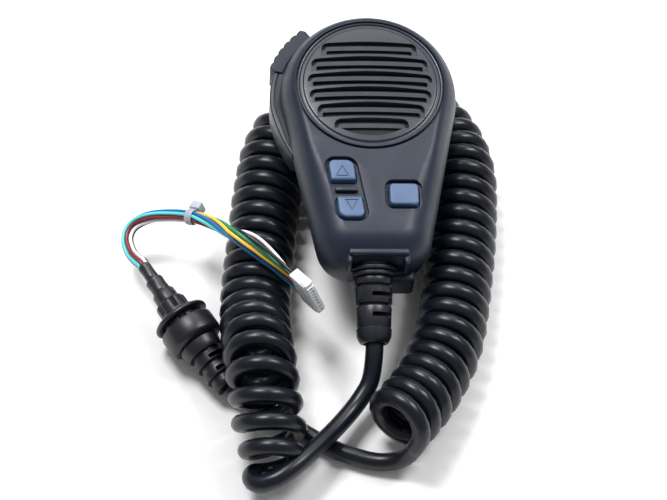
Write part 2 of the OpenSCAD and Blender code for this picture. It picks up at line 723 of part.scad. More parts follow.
// Place of each wire in the plug's row, counted from the top
plug_slot = [6, 7, 5, 1, 0, 2, 3, 4];
function plug_point(i) = plug_at + plug_t / 2 * plug_side
    + (plug_l / 2 + (plug_slot[i] - 3.5) * wire_pitch) * plug_along;
function bezier(a, b, c, d, f) = pow(1 - f, 3) * a + 3 * f * pow(1 - f, 2) * b
    + 3 * f * f * (1 - f) * c + pow(f, 3) * d;
function wire_route(i) = let (last = len(bundle_route) - 1, a = bundle_point(last, i), d = plug_point(i),
    stub = d - 0.7 * plug_out, away = 6 * tangent(bundle_route, last) + 2 * (plug_slot[i] - 3.5) * plug_along,
    back = 3 * plug_out + [0, 0, 0.5 * plug_slot[i] - 0.04 * plug_slot[i] * plug_slot[i]])
    concat([for (k = [0 : 2 * last]) bundle_point(k / 2, i)],
        [for (j = [1 : spread_steps]) bezier(a, a + away, stub - back, stub, j / spread_steps)], [d]);
module wire(i) { tube(wire_route(i), wire_d, 8); }

module blue_wire() color([0.10, 0.42, 0.70]) wire(0);
module cyan_wire() color([0.40, 0.85, 0.82]) wire(1);
module white_wire() color([0.93, 0.93, 0.95]) wire(3);
module black_wire() color([0.08, 0.08, 0.09]) wire(4);
module red_wire() color([0.85, 0.15, 0.15]) wire(7);
module brown_wire() color([0.40, 0.12, 0.12]) wire(2);
module yellow_wire() color([0.95, 0.78, 0.25]) wire(6);
module green_wire() color([0.10, 0.50, 0.32]) wire(5);

// Cable tie round the bundle: a band and its square locking head
module cable_tie() color(nylon_white) {
    at = bundle_route[tie_index];
    heading = tangent(bundle_route, tie_index);
    translate(at) rotate([0, 0, atan2(heading[1], heading[0])])
        rotate([0, -asin(heading[2]), 0]) rotate([0, 90, 0]) {
            difference() {
                cylinder(r = 2.8, h = 2.5, center = true);
                cylinder(r = 2.15, h = 5, center = true);
            }
            translate([-2.2, 2.6, -2.1]) cube([4.4, 3.4, 4.2]);
        }
}

module along_plug() {
    turn = [[plug_along[0], plug_side[0], plug_out[0], plug_at[0]],
            [plug_along[1], plug_side[1], plug_out[1], plug_at[1]],
            [plug_along[2], plug_side[2], plug_out[2], plug_at[2]], [0, 0, 0, 1]];
    multmatrix(turn) children();
}

module plug_housing() color(nylon_white)
    along_plug() difference() {
        cube([plug_l, plug_t, plug_d]);
        for (k = [0 : wire_count - 1]) translate([plug_l / 2 + (k - 3.5) * wire_pitch, plug_t / 2, 0])
            block([-0.45, -0.6, 3], [0.45, 0.6, plug_d + 1]);
    }

module plug_contacts() color(steel)
    along_plug() for (k = [0 : wire_count - 1])
        translate([plug_l / 2 + (k - 3.5) * wire_pitch, plug_t / 2, 3]) block([-0.35, -0.45, 0],
            [0.35, 0.45, 5]);

front_case();
rear_case();
case_seal();
grille();
grille_cloth();
up_key();
down_key();
select_key();
key_mat();
up_plunger();
down_plunger();
select_plunger();
key_switches();
circuit_board();
board_screws();
cord_socket();
mic_capsule();
mic_holder();
talk_lever();
grip_pad();
lever_pin();
lever_seal();
talk_plunger();
talk_switch();
case_screws();
hanger_stud();
hanger_screw();
cord_boot();
boot_clamp();
clamp_screws();
inner_cord();
mic_tail();
curly_cord();
radio_tail();
panel_grommet();
clamp_collar();
large_sleeve();
small_sleeve();
blue_wire();
cyan_wire();
white_wire();
black_wire();
red_wire();
yellow_wire();
green_wire();
brown_wire();
cable_tie();
plug_housing();
plug_contacts();
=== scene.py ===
"""Hand microphone lying on its coiled cord: looks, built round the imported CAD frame."""
import math

import bmesh
import bpy
from mathutils import Matrix, Vector


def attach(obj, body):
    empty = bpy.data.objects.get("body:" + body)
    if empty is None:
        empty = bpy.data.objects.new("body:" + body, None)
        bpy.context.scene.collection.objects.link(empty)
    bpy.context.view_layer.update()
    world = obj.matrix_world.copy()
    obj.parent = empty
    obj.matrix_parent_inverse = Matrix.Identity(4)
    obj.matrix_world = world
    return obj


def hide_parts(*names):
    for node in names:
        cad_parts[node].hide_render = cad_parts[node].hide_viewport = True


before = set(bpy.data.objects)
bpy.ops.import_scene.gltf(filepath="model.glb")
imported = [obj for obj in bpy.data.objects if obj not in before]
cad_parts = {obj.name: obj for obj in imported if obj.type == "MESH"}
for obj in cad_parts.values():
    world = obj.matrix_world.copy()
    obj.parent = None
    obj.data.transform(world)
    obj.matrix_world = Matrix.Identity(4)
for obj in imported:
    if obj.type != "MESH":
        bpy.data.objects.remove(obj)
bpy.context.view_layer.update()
MM = 0.001
CASE = "microphone"

# ---- driving sizes, in millimetres, as in the CAD ----
HEAD_R = 29.6
HEAD_Y = 26.0
CORNER_R = 12.0
CORNER_X = 7.2
CORNER_Y = -27.0
GRILLE_Y = 25.0
GRILLE_R = 24.1
SEAT_R = 24.6
SEAT_Z = 26.5
LEVER_Z = 6.6
LEVER_W = 11.0
LEVER_INNER_R = 28.6
LEVER_R = 32.9
CORD_D = 5.8
COIL_R = 8.9
WIRE_D = 1.2
TILT = (8.0, 3.0, 1.3)
MIC = (Matrix.Rotation(math.radians(TILT[0]), 4, "X") @ Matrix.Rotation(math.radians(TILT[1]), 4, "Y")
       @ Matrix.Rotation(math.radians(TILT[2]), 4, "Z") @ Matrix.Scale(MM, 4))
ROW = Matrix.Scale(MM, 4)
FLOOR_Z = -18.0


def place(p):
    """Row place, in millimetres, of a point given in the microphone's own frame."""
    return (MIC @ Vector(p)) / MM


# ---- camera ----
CAMERA_AIM = Vector((-11.2, -20.0, -6.0))
CAMERA_RISE = math.radians(54.4)
CAMERA_AWAY = 650.0
SENSOR_W = 36.0
LENS = 105.2474


def make_camera():
    data = bpy.data.cameras.new("camera")
    cam = bpy.data.objects.new("camera", data)
    bpy.context.scene.collection.objects.link(cam)
    back = Vector((0.0, -math.cos(CAMERA_RISE), math.sin(CAMERA_RISE)))
    cam.location = (CAMERA_AIM + back * CAMERA_AWAY) * MM
    cam.rotation_mode = "QUATERNION"
    cam.rotation_quaternion = (-back).to_track_quat("-Z", "Y")
    data.sensor_width = SENSOR_W
    data.lens = LENS
    data.clip_start = 0.01
    data.clip_end = 20.0
    bpy.context.scene.camera = cam


make_camera()


# ---- materials ----
def shader(name, color, rough, metallic=0.0, coat=0.0, specular=0.5, sheen=0.0):
    mat = bpy.data.materials.new(name)
    mat.use_nodes = True
    tree = mat.node_tree
    bsdf = tree.nodes["Principled BSDF"]
    bsdf.inputs["Base Color"].default_value = (*color, 1.0)
    bsdf.inputs["Roughness"].default_value = rough
    bsdf.inputs["Metallic"].default_value = metallic
    bsdf.inputs["Coat Weight"].default_value = coat
    bsdf.inputs["Coat Roughness"].default_value = 0.25
    bsdf.inputs["Specular IOR Level"].default_value = specular
    bsdf.inputs["Sheen Weight"].default_value = sheen
    return mat, tree, bsdf


def noise(tree, scale, detail=3.0, rough=0.55, stretch=None):
    coords = tree.nodes.new("ShaderNodeTexCoord")
    node = tree.nodes.new("ShaderNodeTexNoise")
    node.inputs["Scale"].default_value = scale
    node.inputs["Detail"].default_value = detail
    node.inputs["Roughness"].default_value = rough
    if stretch is None:
        tree.links.new(coords.outputs["Object"], node.inputs["Vector"])
    else:
        mapping = tree.nodes.new("ShaderNodeMapping")
        mapping.inputs["Scale"].default_value = stretch
        tree.links.new(coords.outputs["Object"], mapping.inputs["Vector"])
        tree.links.new(mapping.outputs["Vector"], node.inputs["Vector"])
    return node


def ramp(tree, source, low, high, at=(0.35, 0.65)):
    node = tree.nodes.new("ShaderNodeValToRGB")
    node.color_ramp.elements[0].position = at[0]
    node.color_ramp.elements[1].position = at[1]
    node.color_ramp.elements[0].color = (*low, 1.0)
    node.color_ramp.elements[1].color = (*high, 1.0)
    tree.links.new(source, node.inputs["Fac"])
    return node


def uneven_gloss(tree, bsdf, source, low, high):
    gloss = tree.nodes.new("ShaderNodeMapRange")
    gloss.inputs["To Min"].default_value = low
    gloss.inputs["To Max"].default_value = high
    tree.links.new(source, gloss.inputs["Value"])
    tree.links.new(gloss.outputs["Result"], bsdf.inputs["Roughness"])


def raise_grain(tree, bsdf, height, strength, distance):
    lift = tree.nodes.new("ShaderNodeBump")
    lift.inputs["Strength"].default_value = strength
    lift.inputs["Distance"].default_value = distance
    tree.links.new(height, lift.inputs["Height"])
    tree.links.new(lift.outputs["Normal"], bsdf.inputs["Normal"])


def moulded(name, color, rough, grain=9000.0, bump=0.10, vary=0.16, mottle=120.0, **more):
    """Moulded plastic or rubber: slight colour mottling, uneven gloss and a fine grain."""
    mat, tree, bsdf = shader(name, color, rough, **more)
    blotch = noise(tree, mottle)
    low = tuple(c * (1.0 - vary) for c in color)
    high = tuple(min(1.0, c * (1.0 + vary)) for c in color)
    shade = ramp(tree, blotch.outputs["Fac"], low, high)
    tree.links.new(shade.outputs["Color"], bsdf.inputs["Base Color"])
    smear = noise(tree, mottle * 2.7, detail=5.0)
    uneven_gloss(tree, bsdf, smear.outputs["Fac"], max(0.04, rough - 0.06), min(1.0, rough + 0.08))
    fine = noise(tree, grain, detail=2.0)
    raise_grain(tree, bsdf, fine.outputs["Fac"], bump, 0.00005)
    return mat


def brushed(name, color, rough, stretch=(1.0, 30.0, 30.0)):
    """Metal with fine brush lines and slightly uneven gloss."""
    mat, tree, bsdf = shader(name, color, rough, metallic=1.0)
    lines = noise(tree, 260.0, detail=4.0, stretch=stretch)
    shade = ramp(tree, lines.outputs["Fac"], tuple(c * 0.82 for c in color), color)
    tree.links.new(shade.outputs["Color"], bsdf.inputs["Base Color"])
    uneven_gloss(tree, bsdf, lines.outputs["Fac"], max(0.05, rough - 0.08), rough + 0.12)
    return mat


def woven(name, color):
    """Open acoustic cloth."""
    mat, tree, bsdf = shader(name, color, 0.85, sheen=0.3)
    coords = tree.nodes.new("ShaderNodeTexCoord")
    weave = tree.nodes.new("ShaderNodeTexVoronoi")
    weave.inputs["Scale"].default_value = 2600.0
    tree.links.new(coords.outputs["Object"], weave.inputs["Vector"])
    shade = ramp(tree, weave.outputs["Distance"], tuple(c * 0.3 for c in color), color, (0.1, 0.6))
    tree.links.new(shade.outputs["Color"], bsdf.inputs["Base Color"])
    raise_grain(tree, bsdf, weave.outputs["Distance"], 0.5, 0.0002)
    return mat


def printed_board(name):
    """Solder mask with faint tracks."""
    mat, tree, bsdf = shader(name, (0.02, 0.12, 0.06), 0.35, coat=0.4)
    coords = tree.nodes.new("ShaderNodeTexCoord")
    tracks = tree.nodes.new("ShaderNodeTexBrick")
    tracks.inputs["Scale"].default_value = 220.0
    tracks.inputs["Color1"].default_value = (0.015, 0.10, 0.05, 1.0)
    tracks.inputs["Color2"].default_value = (0.02, 0.13, 0.06, 1.0)
    tracks.inputs["Mortar"].default_value = (0.03, 0.20, 0.09, 1.0)
    tracks.inputs["Mortar Size"].default_value = 0.06
    tree.links.new(coords.outputs["Object"], tracks.inputs["Vector"])
    tree.links.new(tracks.outputs["Color"], bsdf.inputs["Base Color"])
    return mat


CASE_MAT = moulded("case_plastic", (0.0100, 0.0155, 0.0310), 0.42, grain=7000.0, bump=0.22, vary=0.12,
                   specular=0.36)
GRILLE_MAT = moulded("grille_plastic", (0.0140, 0.0180, 0.0310), 0.34, grain=7000.0, bump=0.16, vary=0.12)
LEVER_MAT = moulded("lever_plastic", (0.009, 0.012, 0.022), 0.38, bump=0.12, specular=0.4)
KEY_MAT = moulded("key_plastic", (0.078, 0.128, 0.242), 0.45, bump=0.10, vary=0.08, specular=0.4)
PAD_MAT = moulded("grip_rubber", (0.007, 0.011, 0.024), 0.52, bump=0.20, specular=0.35)
RUBBER_MAT = moulded("soft_rubber", (0.010, 0.010, 0.012), 0.62, bump=0.25)
GROMMET_MAT = moulded("grommet_rubber", (0.006, 0.006, 0.011), 0.36, bump=0.14, specular=0.45)
BOOT_MAT = moulded("boot_rubber", (0.009, 0.010, 0.017), 0.36, bump=0.16)
CORD_MAT = moulded("cord_jacket", (0.0035, 0.0050, 0.0100), 0.30, grain=5200.0, bump=0.10, vary=0.20,
                   mottle=60.0, specular=0.36)
SLEEVE_MAT = moulded("sleeve_plastic", (0.011, 0.011, 0.016), 0.36)
DARK_MAT = moulded("dark_plastic", (0.015, 0.015, 0.018), 0.45)
NYLON_MAT = moulded("white_nylon", (0.70, 0.71, 0.74), 0.42, vary=0.03, bump=0.06)
TIE_MAT = moulded("tie_nylon", (0.42, 0.46, 0.51), 0.34, vary=0.04, bump=0.05)
STEEL_MAT = brushed("screw_steel", (0.58, 0.59, 0.61), 0.34)
STUD_MAT = brushed("stud_steel", (0.62, 0.63, 0.65), 0.20)
BRASS_MAT = brushed("contact_brass", (0.72, 0.58, 0.30), 0.28)
ALU_MAT = brushed("capsule_aluminium", (0.72, 0.73, 0.75), 0.32)
CLOTH_MAT = woven("acoustic_cloth", (0.010, 0.010, 0.012))
BOARD_MAT = printed_board("solder_mask")
WIRE_COLOURS = {
    "blue": (0.006, 0.150, 0.420), "cyan": (0.110, 0.620, 0.640), "white": (0.82, 0.83, 0.86),
    "black": (0.012, 0.012, 0.016), "red": (0.660, 0.018, 0.022), "yellow": (0.880, 0.520, 0.050),
    "green": (0.010, 0.230, 0.110), "brown": (0.180, 0.014, 0.022),
}


# ---- mesh helpers ----
def finish_mesh(name, bm, material, body=CASE, matrix=MIC, crease=35.0):
    """Makes an object in the row frame from a bmesh in millimetres, smooth except at sharp edges."""
    bmesh.ops.recalc_face_normals(bm, faces=bm.faces)
    mesh = bpy.data.meshes.new(name)
    bm.to_mesh(mesh)
    bm.free()
    mesh.transform(matrix)
    mesh.materials.append(material)
    for face in mesh.polygons:
        face.use_smooth = True
    mesh.set_sharp_from_angle(angle=math.radians(crease))
    obj = bpy.data.objects.new(name, mesh)
    bpy.context.scene.collection.objects.link(obj)
    if body:
        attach(obj, body)
    return obj


def loft(rings, closed_ends=True):
    """Solid or open skin through equal rings of points."""
    bm = bmesh.new()
    rows = [[bm.verts.new(p) for p in ring] for ring in rings]
    count = len(rings[0])
    for low, high in zip(rows, rows[1:]):
        for i in range(count):
            j = (i + 1) % count
            bm.faces.new((low[i], low[j], high[j], high[i]))
    if closed_ends:
        bm.faces.new(list(reversed(rows[0])))
        bm.faces.new(rows[-1])
    bmesh.ops.recalc_face_normals(bm, faces=bm.faces)
    return bm


def revolve(profile, steps=96):
    """Solid turned about +Z from (radius, height) points that end on the axis or where they start."""
    rings = []
    for k in range(steps):
        a = 2 * math.pi * k / steps
        rings.append([(r * math.cos(a), r * math.sin(a), z) for r, z in profile])
    bm = bmesh.new()
    rows = [[bm.verts.new(p) for p in ring] for ring in rings]
    for k in range(steps):
        here, there = rows[k], rows[(k + 1) % steps]
        for i in range(len(profile) - 1):
            bm.faces.new((here[i], there[i], there[i + 1], here[i + 1]))
    bmesh.ops.remove_doubles(bm, verts=bm.verts, dist=1e-5)
    bmesh.ops.recalc_face_normals(bm, faces=bm.faces)
    return bm


def move(bm, matrix):
    bmesh.ops.transform(bm, matrix=matrix, verts=bm.verts)
    return bm


def to_object(bm, name="scratch"):
    mesh = bpy.data.meshes.new(name)
    bm.to_mesh(mesh)
    bm.free()
    obj = bpy.data.objects.new(name, mesh)
    bpy.context.scene.collection.objects.link(obj)
    return obj


def carve(bm, cutters, operation="DIFFERENCE"):
    """Boolean of one bmesh with others, applied. The inputs are used up."""
    body = to_object(bm)
    tools = [to_object(c, "tool") for c in cutters]
    for tool in tools:
        mod = body.modifiers.new("cut", "BOOLEAN")
        mod.operation = operation
        mod.solver = "EXACT"
        mod.object = tool
    deps = bpy.context.evaluated_depsgraph_get()
    result = bmesh.new()
    result.from_object(body, deps)
    for obj in [body, *tools]:
        mesh = obj.data
        bpy.data.objects.remove(obj)
        bpy.data.meshes.remove(mesh)
    return result


def box(low, high):
    bm = bmesh.new()
    bmesh.ops.create_cube(bm, size=1.0)
    for v in bm.verts:
        v.co = Vector(l + (h - l) * (c + 0.5) for l, h, c in zip(low, high, v.co))
    return bm


def rounded_box(low, high, r, steps=3):
    bm = box(low, high)
    bmesh.ops.bevel(bm, geom=bm.edges, offset=r, segments=steps, affect="EDGES", profile=0.5)
    return bm


def prism(points, z0, z1):
    return loft([[(x, y, z0) for x, y in points], [(x, y, z1) for x, y in points]])


def join(*parts):
    whole = bmesh.new()
    for part in parts:
        mesh = bpy.data.meshes.new("join")
        part.to_mesh(mesh)
        part.free()
        whole.from_mesh(mesh)
        bpy.data.meshes.remove(mesh)
    return whole


def arc(centre, r, start, end, steps):
    """Points on an arc, angles in degrees, both ends included."""
    points = []
    for k in range(steps + 1):
        a = math.radians(start + (end - start) * k / steps)
        points.append((centre[0] + r * math.cos(a), centre[1] + r * math.sin(a)))
    return points


def hull_points(circles, grow, steps=96):
    """Outline of the common hull of circles (x, y, r), each grown, by its support points."""
    points = []
    for k in range(steps):
        a = 2 * math.pi * k / steps
        d = (math.cos(a), math.sin(a))
        best = max(circles, key=lambda c: c[0] * d[0] + c[1] * d[1] + c[2])
        reach = best[2] + grow
        points.append((best[0] + reach * d[0], best[1] + reach * d[1]))
    return points


# ---- case outline ----
REACH = math.hypot(CORNER_X, HEAD_Y - CORNER_Y)
SIDE_ANGLE = math.degrees(math.atan2(HEAD_Y - CORNER_Y, -CORNER_X) - math.acos((CORNER_R - HEAD_R) / REACH))
SIDE_NORMAL = (math.cos(math.radians(SIDE_ANGLE)), math.sin(math.radians(SIDE_ANGLE)))
HEAD_STEPS = 150
CORNER_STEPS = 26
SIDE_STEPS = 24


def outline(inset):
    """Case outline, drawn in from the widest one: corner, right side, head, left side, corner."""
    small, big = CORNER_R - inset, HEAD_R - inset
    right = arc((CORNER_X, CORNER_Y), small, -90, SIDE_ANGLE, CORNER_STEPS)
    head = arc((0, HEAD_Y), big, SIDE_ANGLE, 180 - SIDE_ANGLE, HEAD_STEPS)
    left = arc((-CORNER_X, CORNER_Y), small, 180 - SIDE_ANGLE, 270, CORNER_STEPS)

    def between(a, b):
        return [(a[0] + (b[0] - a[0]) * k / SIDE_STEPS, a[1] + (b[1] - a[1]) * k / SIDE_STEPS)
                for k in range(1, SIDE_STEPS)]

    return right + between(right[-1], head[0]) + head + between(head[-1], left[0]) + left


WIDE, INNER = outline(0.0), outline(1.0)


def inset(depth):
    """Widest case outline, drawn in by a depth."""
    return [(x0 + (x1 - x0) * depth, y0 + (y1 - y0) * depth) for (x0, y0), (x1, y1) in zip(WIDE, INNER)]


def hollow(levels):
    """Cutter for the inside of a case half: its depth inside the outline at each height."""
    return loft([[(x, y, z) for x, y in inset(depth)] for z, depth in levels])


def smoothstep(t):
    t = max(0.0, min(1.0, t))
    return t * t * (3 - 2 * t)


# ---- the cord ----
def between_points(a, b, c, d, t):
    """Point at t between b and c on a smooth curve that also passes a and d."""
    return 0.5 * (2 * b + (c - a) * t + (2 * a - 5 * b + 4 * c - d) * t * t + (3 * b - a - 3 * c + d) * t ** 3)


def bridge(p0, p1, p2, p3, t):
    """Point at t on the curve from p0 towards p1, and from p2 into p3."""
    return (1 - t) ** 3 * p0 + 3 * t * (1 - t) ** 2 * p1 + 3 * t * t * (1 - t) * p2 + t ** 3 * p3


def spline(points, step):
    """Points at even steps along a smooth curve through the given ones."""
    pts = [Vector(p) for p in points]
    ends = [2 * pts[0] - pts[1]] + pts + [2 * pts[-1] - pts[-2]]
    dense = []
    for i in range(1, len(ends) - 2):
        dense += [between_points(*ends[i - 1:i + 3], k / 24) for k in range(24)]
    dense.append(pts[-1])
    total = sum((b - a).length for a, b in zip(dense, dense[1:]))
    count = max(2, round(total / step))
    even, walked, target = [dense[0]], 0.0, total / count
    for a, b in zip(dense, dense[1:]):
        piece = (b - a).length
        while walked + piece >= target - 1e-9 and len(even) < count:
            even.append(a + (b - a) * ((target - walked) / piece))
            target += total / count
        walked += piece
    even.append(dense[-1])
    return even


def length_of(points):
    return sum((b - a).length for a, b in zip(points, points[1:]))


BOOT_AT = (0.0, -37.0, 13.5)
BOOT_DROOP = 14.0
BOOT_L = 24.0
BOOT_MOUTH = 4.0
BOOT_OUT = Vector((0.0, -math.cos(math.radians(BOOT_DROOP)), -math.sin(math.radians(BOOT_DROOP))))
BOOT_END = place(Vector(BOOT_AT) + (BOOT_L - BOOT_MOUTH) * BOOT_OUT)
BOOT_DIR = (place(Vector(BOOT_AT) + BOOT_OUT) - place(BOOT_AT)).normalized()

GROMMET_AT = Vector((-60.8, -46.8, -7.4))
HEADING, SLOPE = math.radians(124.7), math.radians(9.0)
GROMMET_DIR = Vector((math.cos(HEADING) * math.cos(SLOPE), math.sin(HEADING) * math.cos(SLOPE),
                      math.sin(SLOPE)))
RELIEF_L = 28.4
COLLAR_L = 11.3
LARGE_SLEEVE_L = 5.7
SMALL_SLEEVE_L = 6.3
RELIEF_END = GROMMET_AT - RELIEF_L * GROMMET_DIR
SLEEVE_END = GROMMET_AT + (COLLAR_L + LARGE_SLEEVE_L + SMALL_SLEEVE_L) * GROMMET_DIR

MIC_TAIL = [BOOT_END, BOOT_END + (BOOT_MOUTH + 3) * BOOT_DIR, (0.6, -70.5, -6.6), (-2.2, -75.5, -8.6),
            (-6, -81, -9.2), (-11, -88.2, -7.8), (-16.6, -96, -5.2), (-22.2, -103, -3.2),
            (-28, -107.8, -3.2), (-32.4, -109, -4.4)]
COIL_ROUTE = [(-29.2, -102, -6.2), (-30.4, -94, -4.2), (-31.8, -86, -1.4), (-33, -78.3, 1),
              (-34.4, -68.4, 1), (-35.8, -58.2, -1.7), (-36.6, -47, -5), (-36.5, -34, -6.2),
              (-35.4, -18, -6.2), (-34.4, -3, -6.2), (-33.2, 9, -6.2), (-31.8, 20, -6.4),
              (-28.6, 31.6, -7.4), (-21, 41.8, -8.6), (-11.6, 49, -9), (0, 51.4, -9), (11.4, 49, -9),
              (21.6, 42, -8.4), (27.8, 32.4, -7.6), (31.4, 21.6, -6.8), (32.8, 10, -6.2), (32.6, -2, -6.2),
              (31.4, -18, -6.2), (29.4, -34, -6.2), (27, -50, -6.2), (24.2, -61, -5.8), (20, -71, -5),
              (14.9, -80.4, -3.4), (8.2, -90.4, -0.9)]
RADIO_TAIL = [(13.4, -95.6, -7.6), (11.6, -95.9, -10.8), (8.6, -96.0, -13.2), (4.6, -95.8, -14.6),
              (0, -95.0, -15.05), (-5, -93.4, -15.05), (-10, -91.4, -15.05), (-16, -88, -15.05),
              (-22, -84, -15.05), (-28.4, -79.2, -15), (-36.6, -75, -14.5), RELIEF_END]
TURN_POINTS = 20
START_TURN = 0.6
END_TURN = 0.56
PITCH = 6.35
# changes in pitch: up to where along the coil, the length over which each one fades out, and how much
PITCH_CHANGES = [(36.0, 12.0, 1.45), (8.0, 14.0, 1.2), (0.0, 7.0, -3.4)]
START_NARROWER, START_LENGTH = 1.6, 12.0
COIL_REST_Y = 5.0
EVEN_BEND = 0.012
BEND_FROM_Y = 30.0
BEND_OPENING = 5.0


def coil_pitch(done, bend):
    """Distance from turn to turn at a length along the coil, opened by a bend."""
    return PITCH + bend + sum(change * (1.0 - smoothstep((done - start) / fade))
                              for start, fade, change in PITCH_CHANGES)


def coil_radius(done, middle):
    """The coil's own radius, smaller in its first turn and where it passes low under the head."""
    lying = middle.z - FLOOR_Z - CORD_D / 2 if middle.y > COIL_REST_Y else COIL_R
    return min(COIL_R, lying) - START_NARROWER * (1.0 - smoothstep(done / START_LENGTH))


def coil_points():
    """Left-handed helix round the coil's middle line. The turns are counted first, and then made whole."""
    line = spline(COIL_ROUTE, 0.5)
    points = []
    turn = START_TURN
    done = 0.0
    marks = []
    for i in range(len(line) - 1):
        a, b = line[max(i - 6, 0)], line[min(i + 6, len(line) - 1)]
        mid = line[i]
        bend = ((b - mid).normalized() - (mid - a).normalized()).length / max((b - a).length / 2, 0.1)
        tight = max(0.0, bend - EVEN_BEND)
        marks.append((done, turn))
        step = (line[i + 1] - line[i]).length
        opening = BEND_OPENING * COIL_R * tight / (1 - COIL_R * tight) if mid.y > BEND_FROM_Y else 0.0
        turn += step / coil_pitch(done, opening)
        done += step
    marks.append((done, turn))
    whole = math.floor(marks[-1][1] - END_TURN) + END_TURN
    stretch = (whole - START_TURN) / (marks[-1][1] - START_TURN)
    count = int((whole - START_TURN) * TURN_POINTS)
    k = 0
    for n in range(count + 1):
        want = START_TURN + (whole - START_TURN) * n / count
        while k < len(marks) - 2 and START_TURN + (marks[k + 1][1] - START_TURN) * stretch < want:
            k += 1
        t0, t1 = (START_TURN + (marks[j][1] - START_TURN) * stretch for j in (k, k + 1))
        f = max(0.0, min(1.0, (want - t0) / max(t1 - t0, 1e-9)))
        centre = line[k].lerp(line[k + 1], f)
        along = (line[min(k + 3, len(line) - 1)] - line[max(k - 3, 0)]).normalized()
        side = along.cross(Vector((0, 0, 1))).normalized()
        up = side.cross(along)
        angle = 2 * math.pi * want
        reach = coil_radius(0.5 * (k + f), centre)
        points.append(centre + reach * (math.cos(angle) * side + math.sin(angle) * up))
    return points


def curve_object(name, points, diameter, material, res):
    """Round cord of a diameter through points in millimetres, carried by the microphone."""
    data = bpy.data.curves.new(name, "CURVE")
    data.dimensions = "3D"
    data.bevel_depth = diameter / 2 * MM
    data.bevel_resolution = res
    data.use_fill_caps = True
    line = data.splines.new("POLY")
    line.points.add(len(points) - 1)
    for point, p in zip(line.points, points):
        point.co = (*(Vector(p) * MM), 1.0)
    line.use_smooth = True
    data.materials.append(material)
    obj = bpy.data.objects.new(name, data)
    bpy.context.scene.collection.objects.link(obj)
    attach(obj, CASE)
    return obj


def smooth_join(a, b, count):
    """Points on a smooth bridge from the end of a to the start of b."""
    p0, p3 = a[-1], b[0]
    d0 = (a[-1] - a[-2]).normalized()
    d3 = (b[1] - b[0]).normalized()
    pull = (p3 - p0).length * 0.45
    return [bridge(p0, p0 + d0 * pull, p3 - d3 * pull, p3, k / count) for k in range(1, count)]


def make_cord():
    head = spline(MIC_TAIL, 2.0)
    coil = coil_points()
    tail = spline(RADIO_TAIL, 2.0)
    points = head + smooth_join(head, coil, 8) + coil + smooth_join(coil, tail, 8) + tail
    cord = curve_object("cord", points, CORD_D, CORD_MAT, 5)
    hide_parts("mic_tail", "curly_cord", "radio_tail")
    return cord, length_of(points) * MM


cord, cord_length = make_cord()

# ---- wires ----
PLUG_AT = Vector((-25.5, -43.4, 13.1))
PLUG_ALONG = Vector((0.30, -0.07, -0.95)).normalized()
PLUG_MATE = Vector((0.58, -0.78, 0.24))
PLUG_OUT = (PLUG_MATE - PLUG_MATE.dot(PLUG_ALONG) * PLUG_ALONG).normalized()
PLUG_SIDE = PLUG_OUT.cross(PLUG_ALONG)
PLUG_L, PLUG_D, PLUG_T = 13.5, 9.4, 3.6
BUNDLE_ROUTE = [SLEEVE_END + 0.9 * GROMMET_DIR, Vector((-78.2, -22, -5.6)), Vector((-80.2, -16, -5.6)),
                Vector((-78.6, -11.6, -4.2)), Vector((-73.4, -10, -1.6)), Vector((-66, -11, 1.2)),
                Vector((-58.2, -13.6, 3.9)), Vector((-51, -18.4, 7.1)), Vector((-44.6, -24.9, 10.6))]
BUNDLE_TURN = [60, 56, 44, 20, -6, -24, -36, -90, -150]
TIE_INDEX = 6
WIRES = ["blue", "cyan", "brown", "white", "black", "green", "yellow", "red"]
PLUG_SLOT = [6, 7, 5, 1, 0, 2, 3, 4]
RING_R = 1.56
RING_FROM = 154.0
WIRE_PITCH = 1.5
BUNDLE_LEAD, PLUG_LEAD = 10.0, 8.0
WHITE_LOOP = Vector((2.6, 3.0, 1.0))


def smooth_at(route, t):
    """Point on a smooth curve through a route, t counted in places along it."""
    i = min(int(t), len(route) - 2)
    around = route[max(i - 1, 0)], route[i], route[i + 1], route[min(i + 2, len(route) - 1)]
    return between_points(*around, t - i)


def bundle_way(t):
    ahead = smooth_at(BUNDLE_ROUTE, min(t + 0.25, len(BUNDLE_ROUTE) - 1))
    return (ahead - smooth_at(BUNDLE_ROUTE, max(t - 0.25, 0))).normalized()


def bundle_point(t, i):
    """Place of a wire in the bundle: the last one in the middle and the rest round it."""
    centre = smooth_at(BUNDLE_ROUTE, t)
    if i == len(WIRES) - 1:
        return centre
    side = bundle_way(t).cross(Vector((0, 0, 1))).normalized()
    up = side.cross(bundle_way(t))
    k = min(int(t), len(BUNDLE_TURN) - 2)
    turned = BUNDLE_TURN[k] + (t - k) * (BUNDLE_TURN[k + 1] - BUNDLE_TURN[k])
    a = math.radians(RING_FROM - 360 * i / (len(WIRES) - 1) + turned)
    return centre + RING_R * (math.cos(a) * side + math.sin(a) * up)


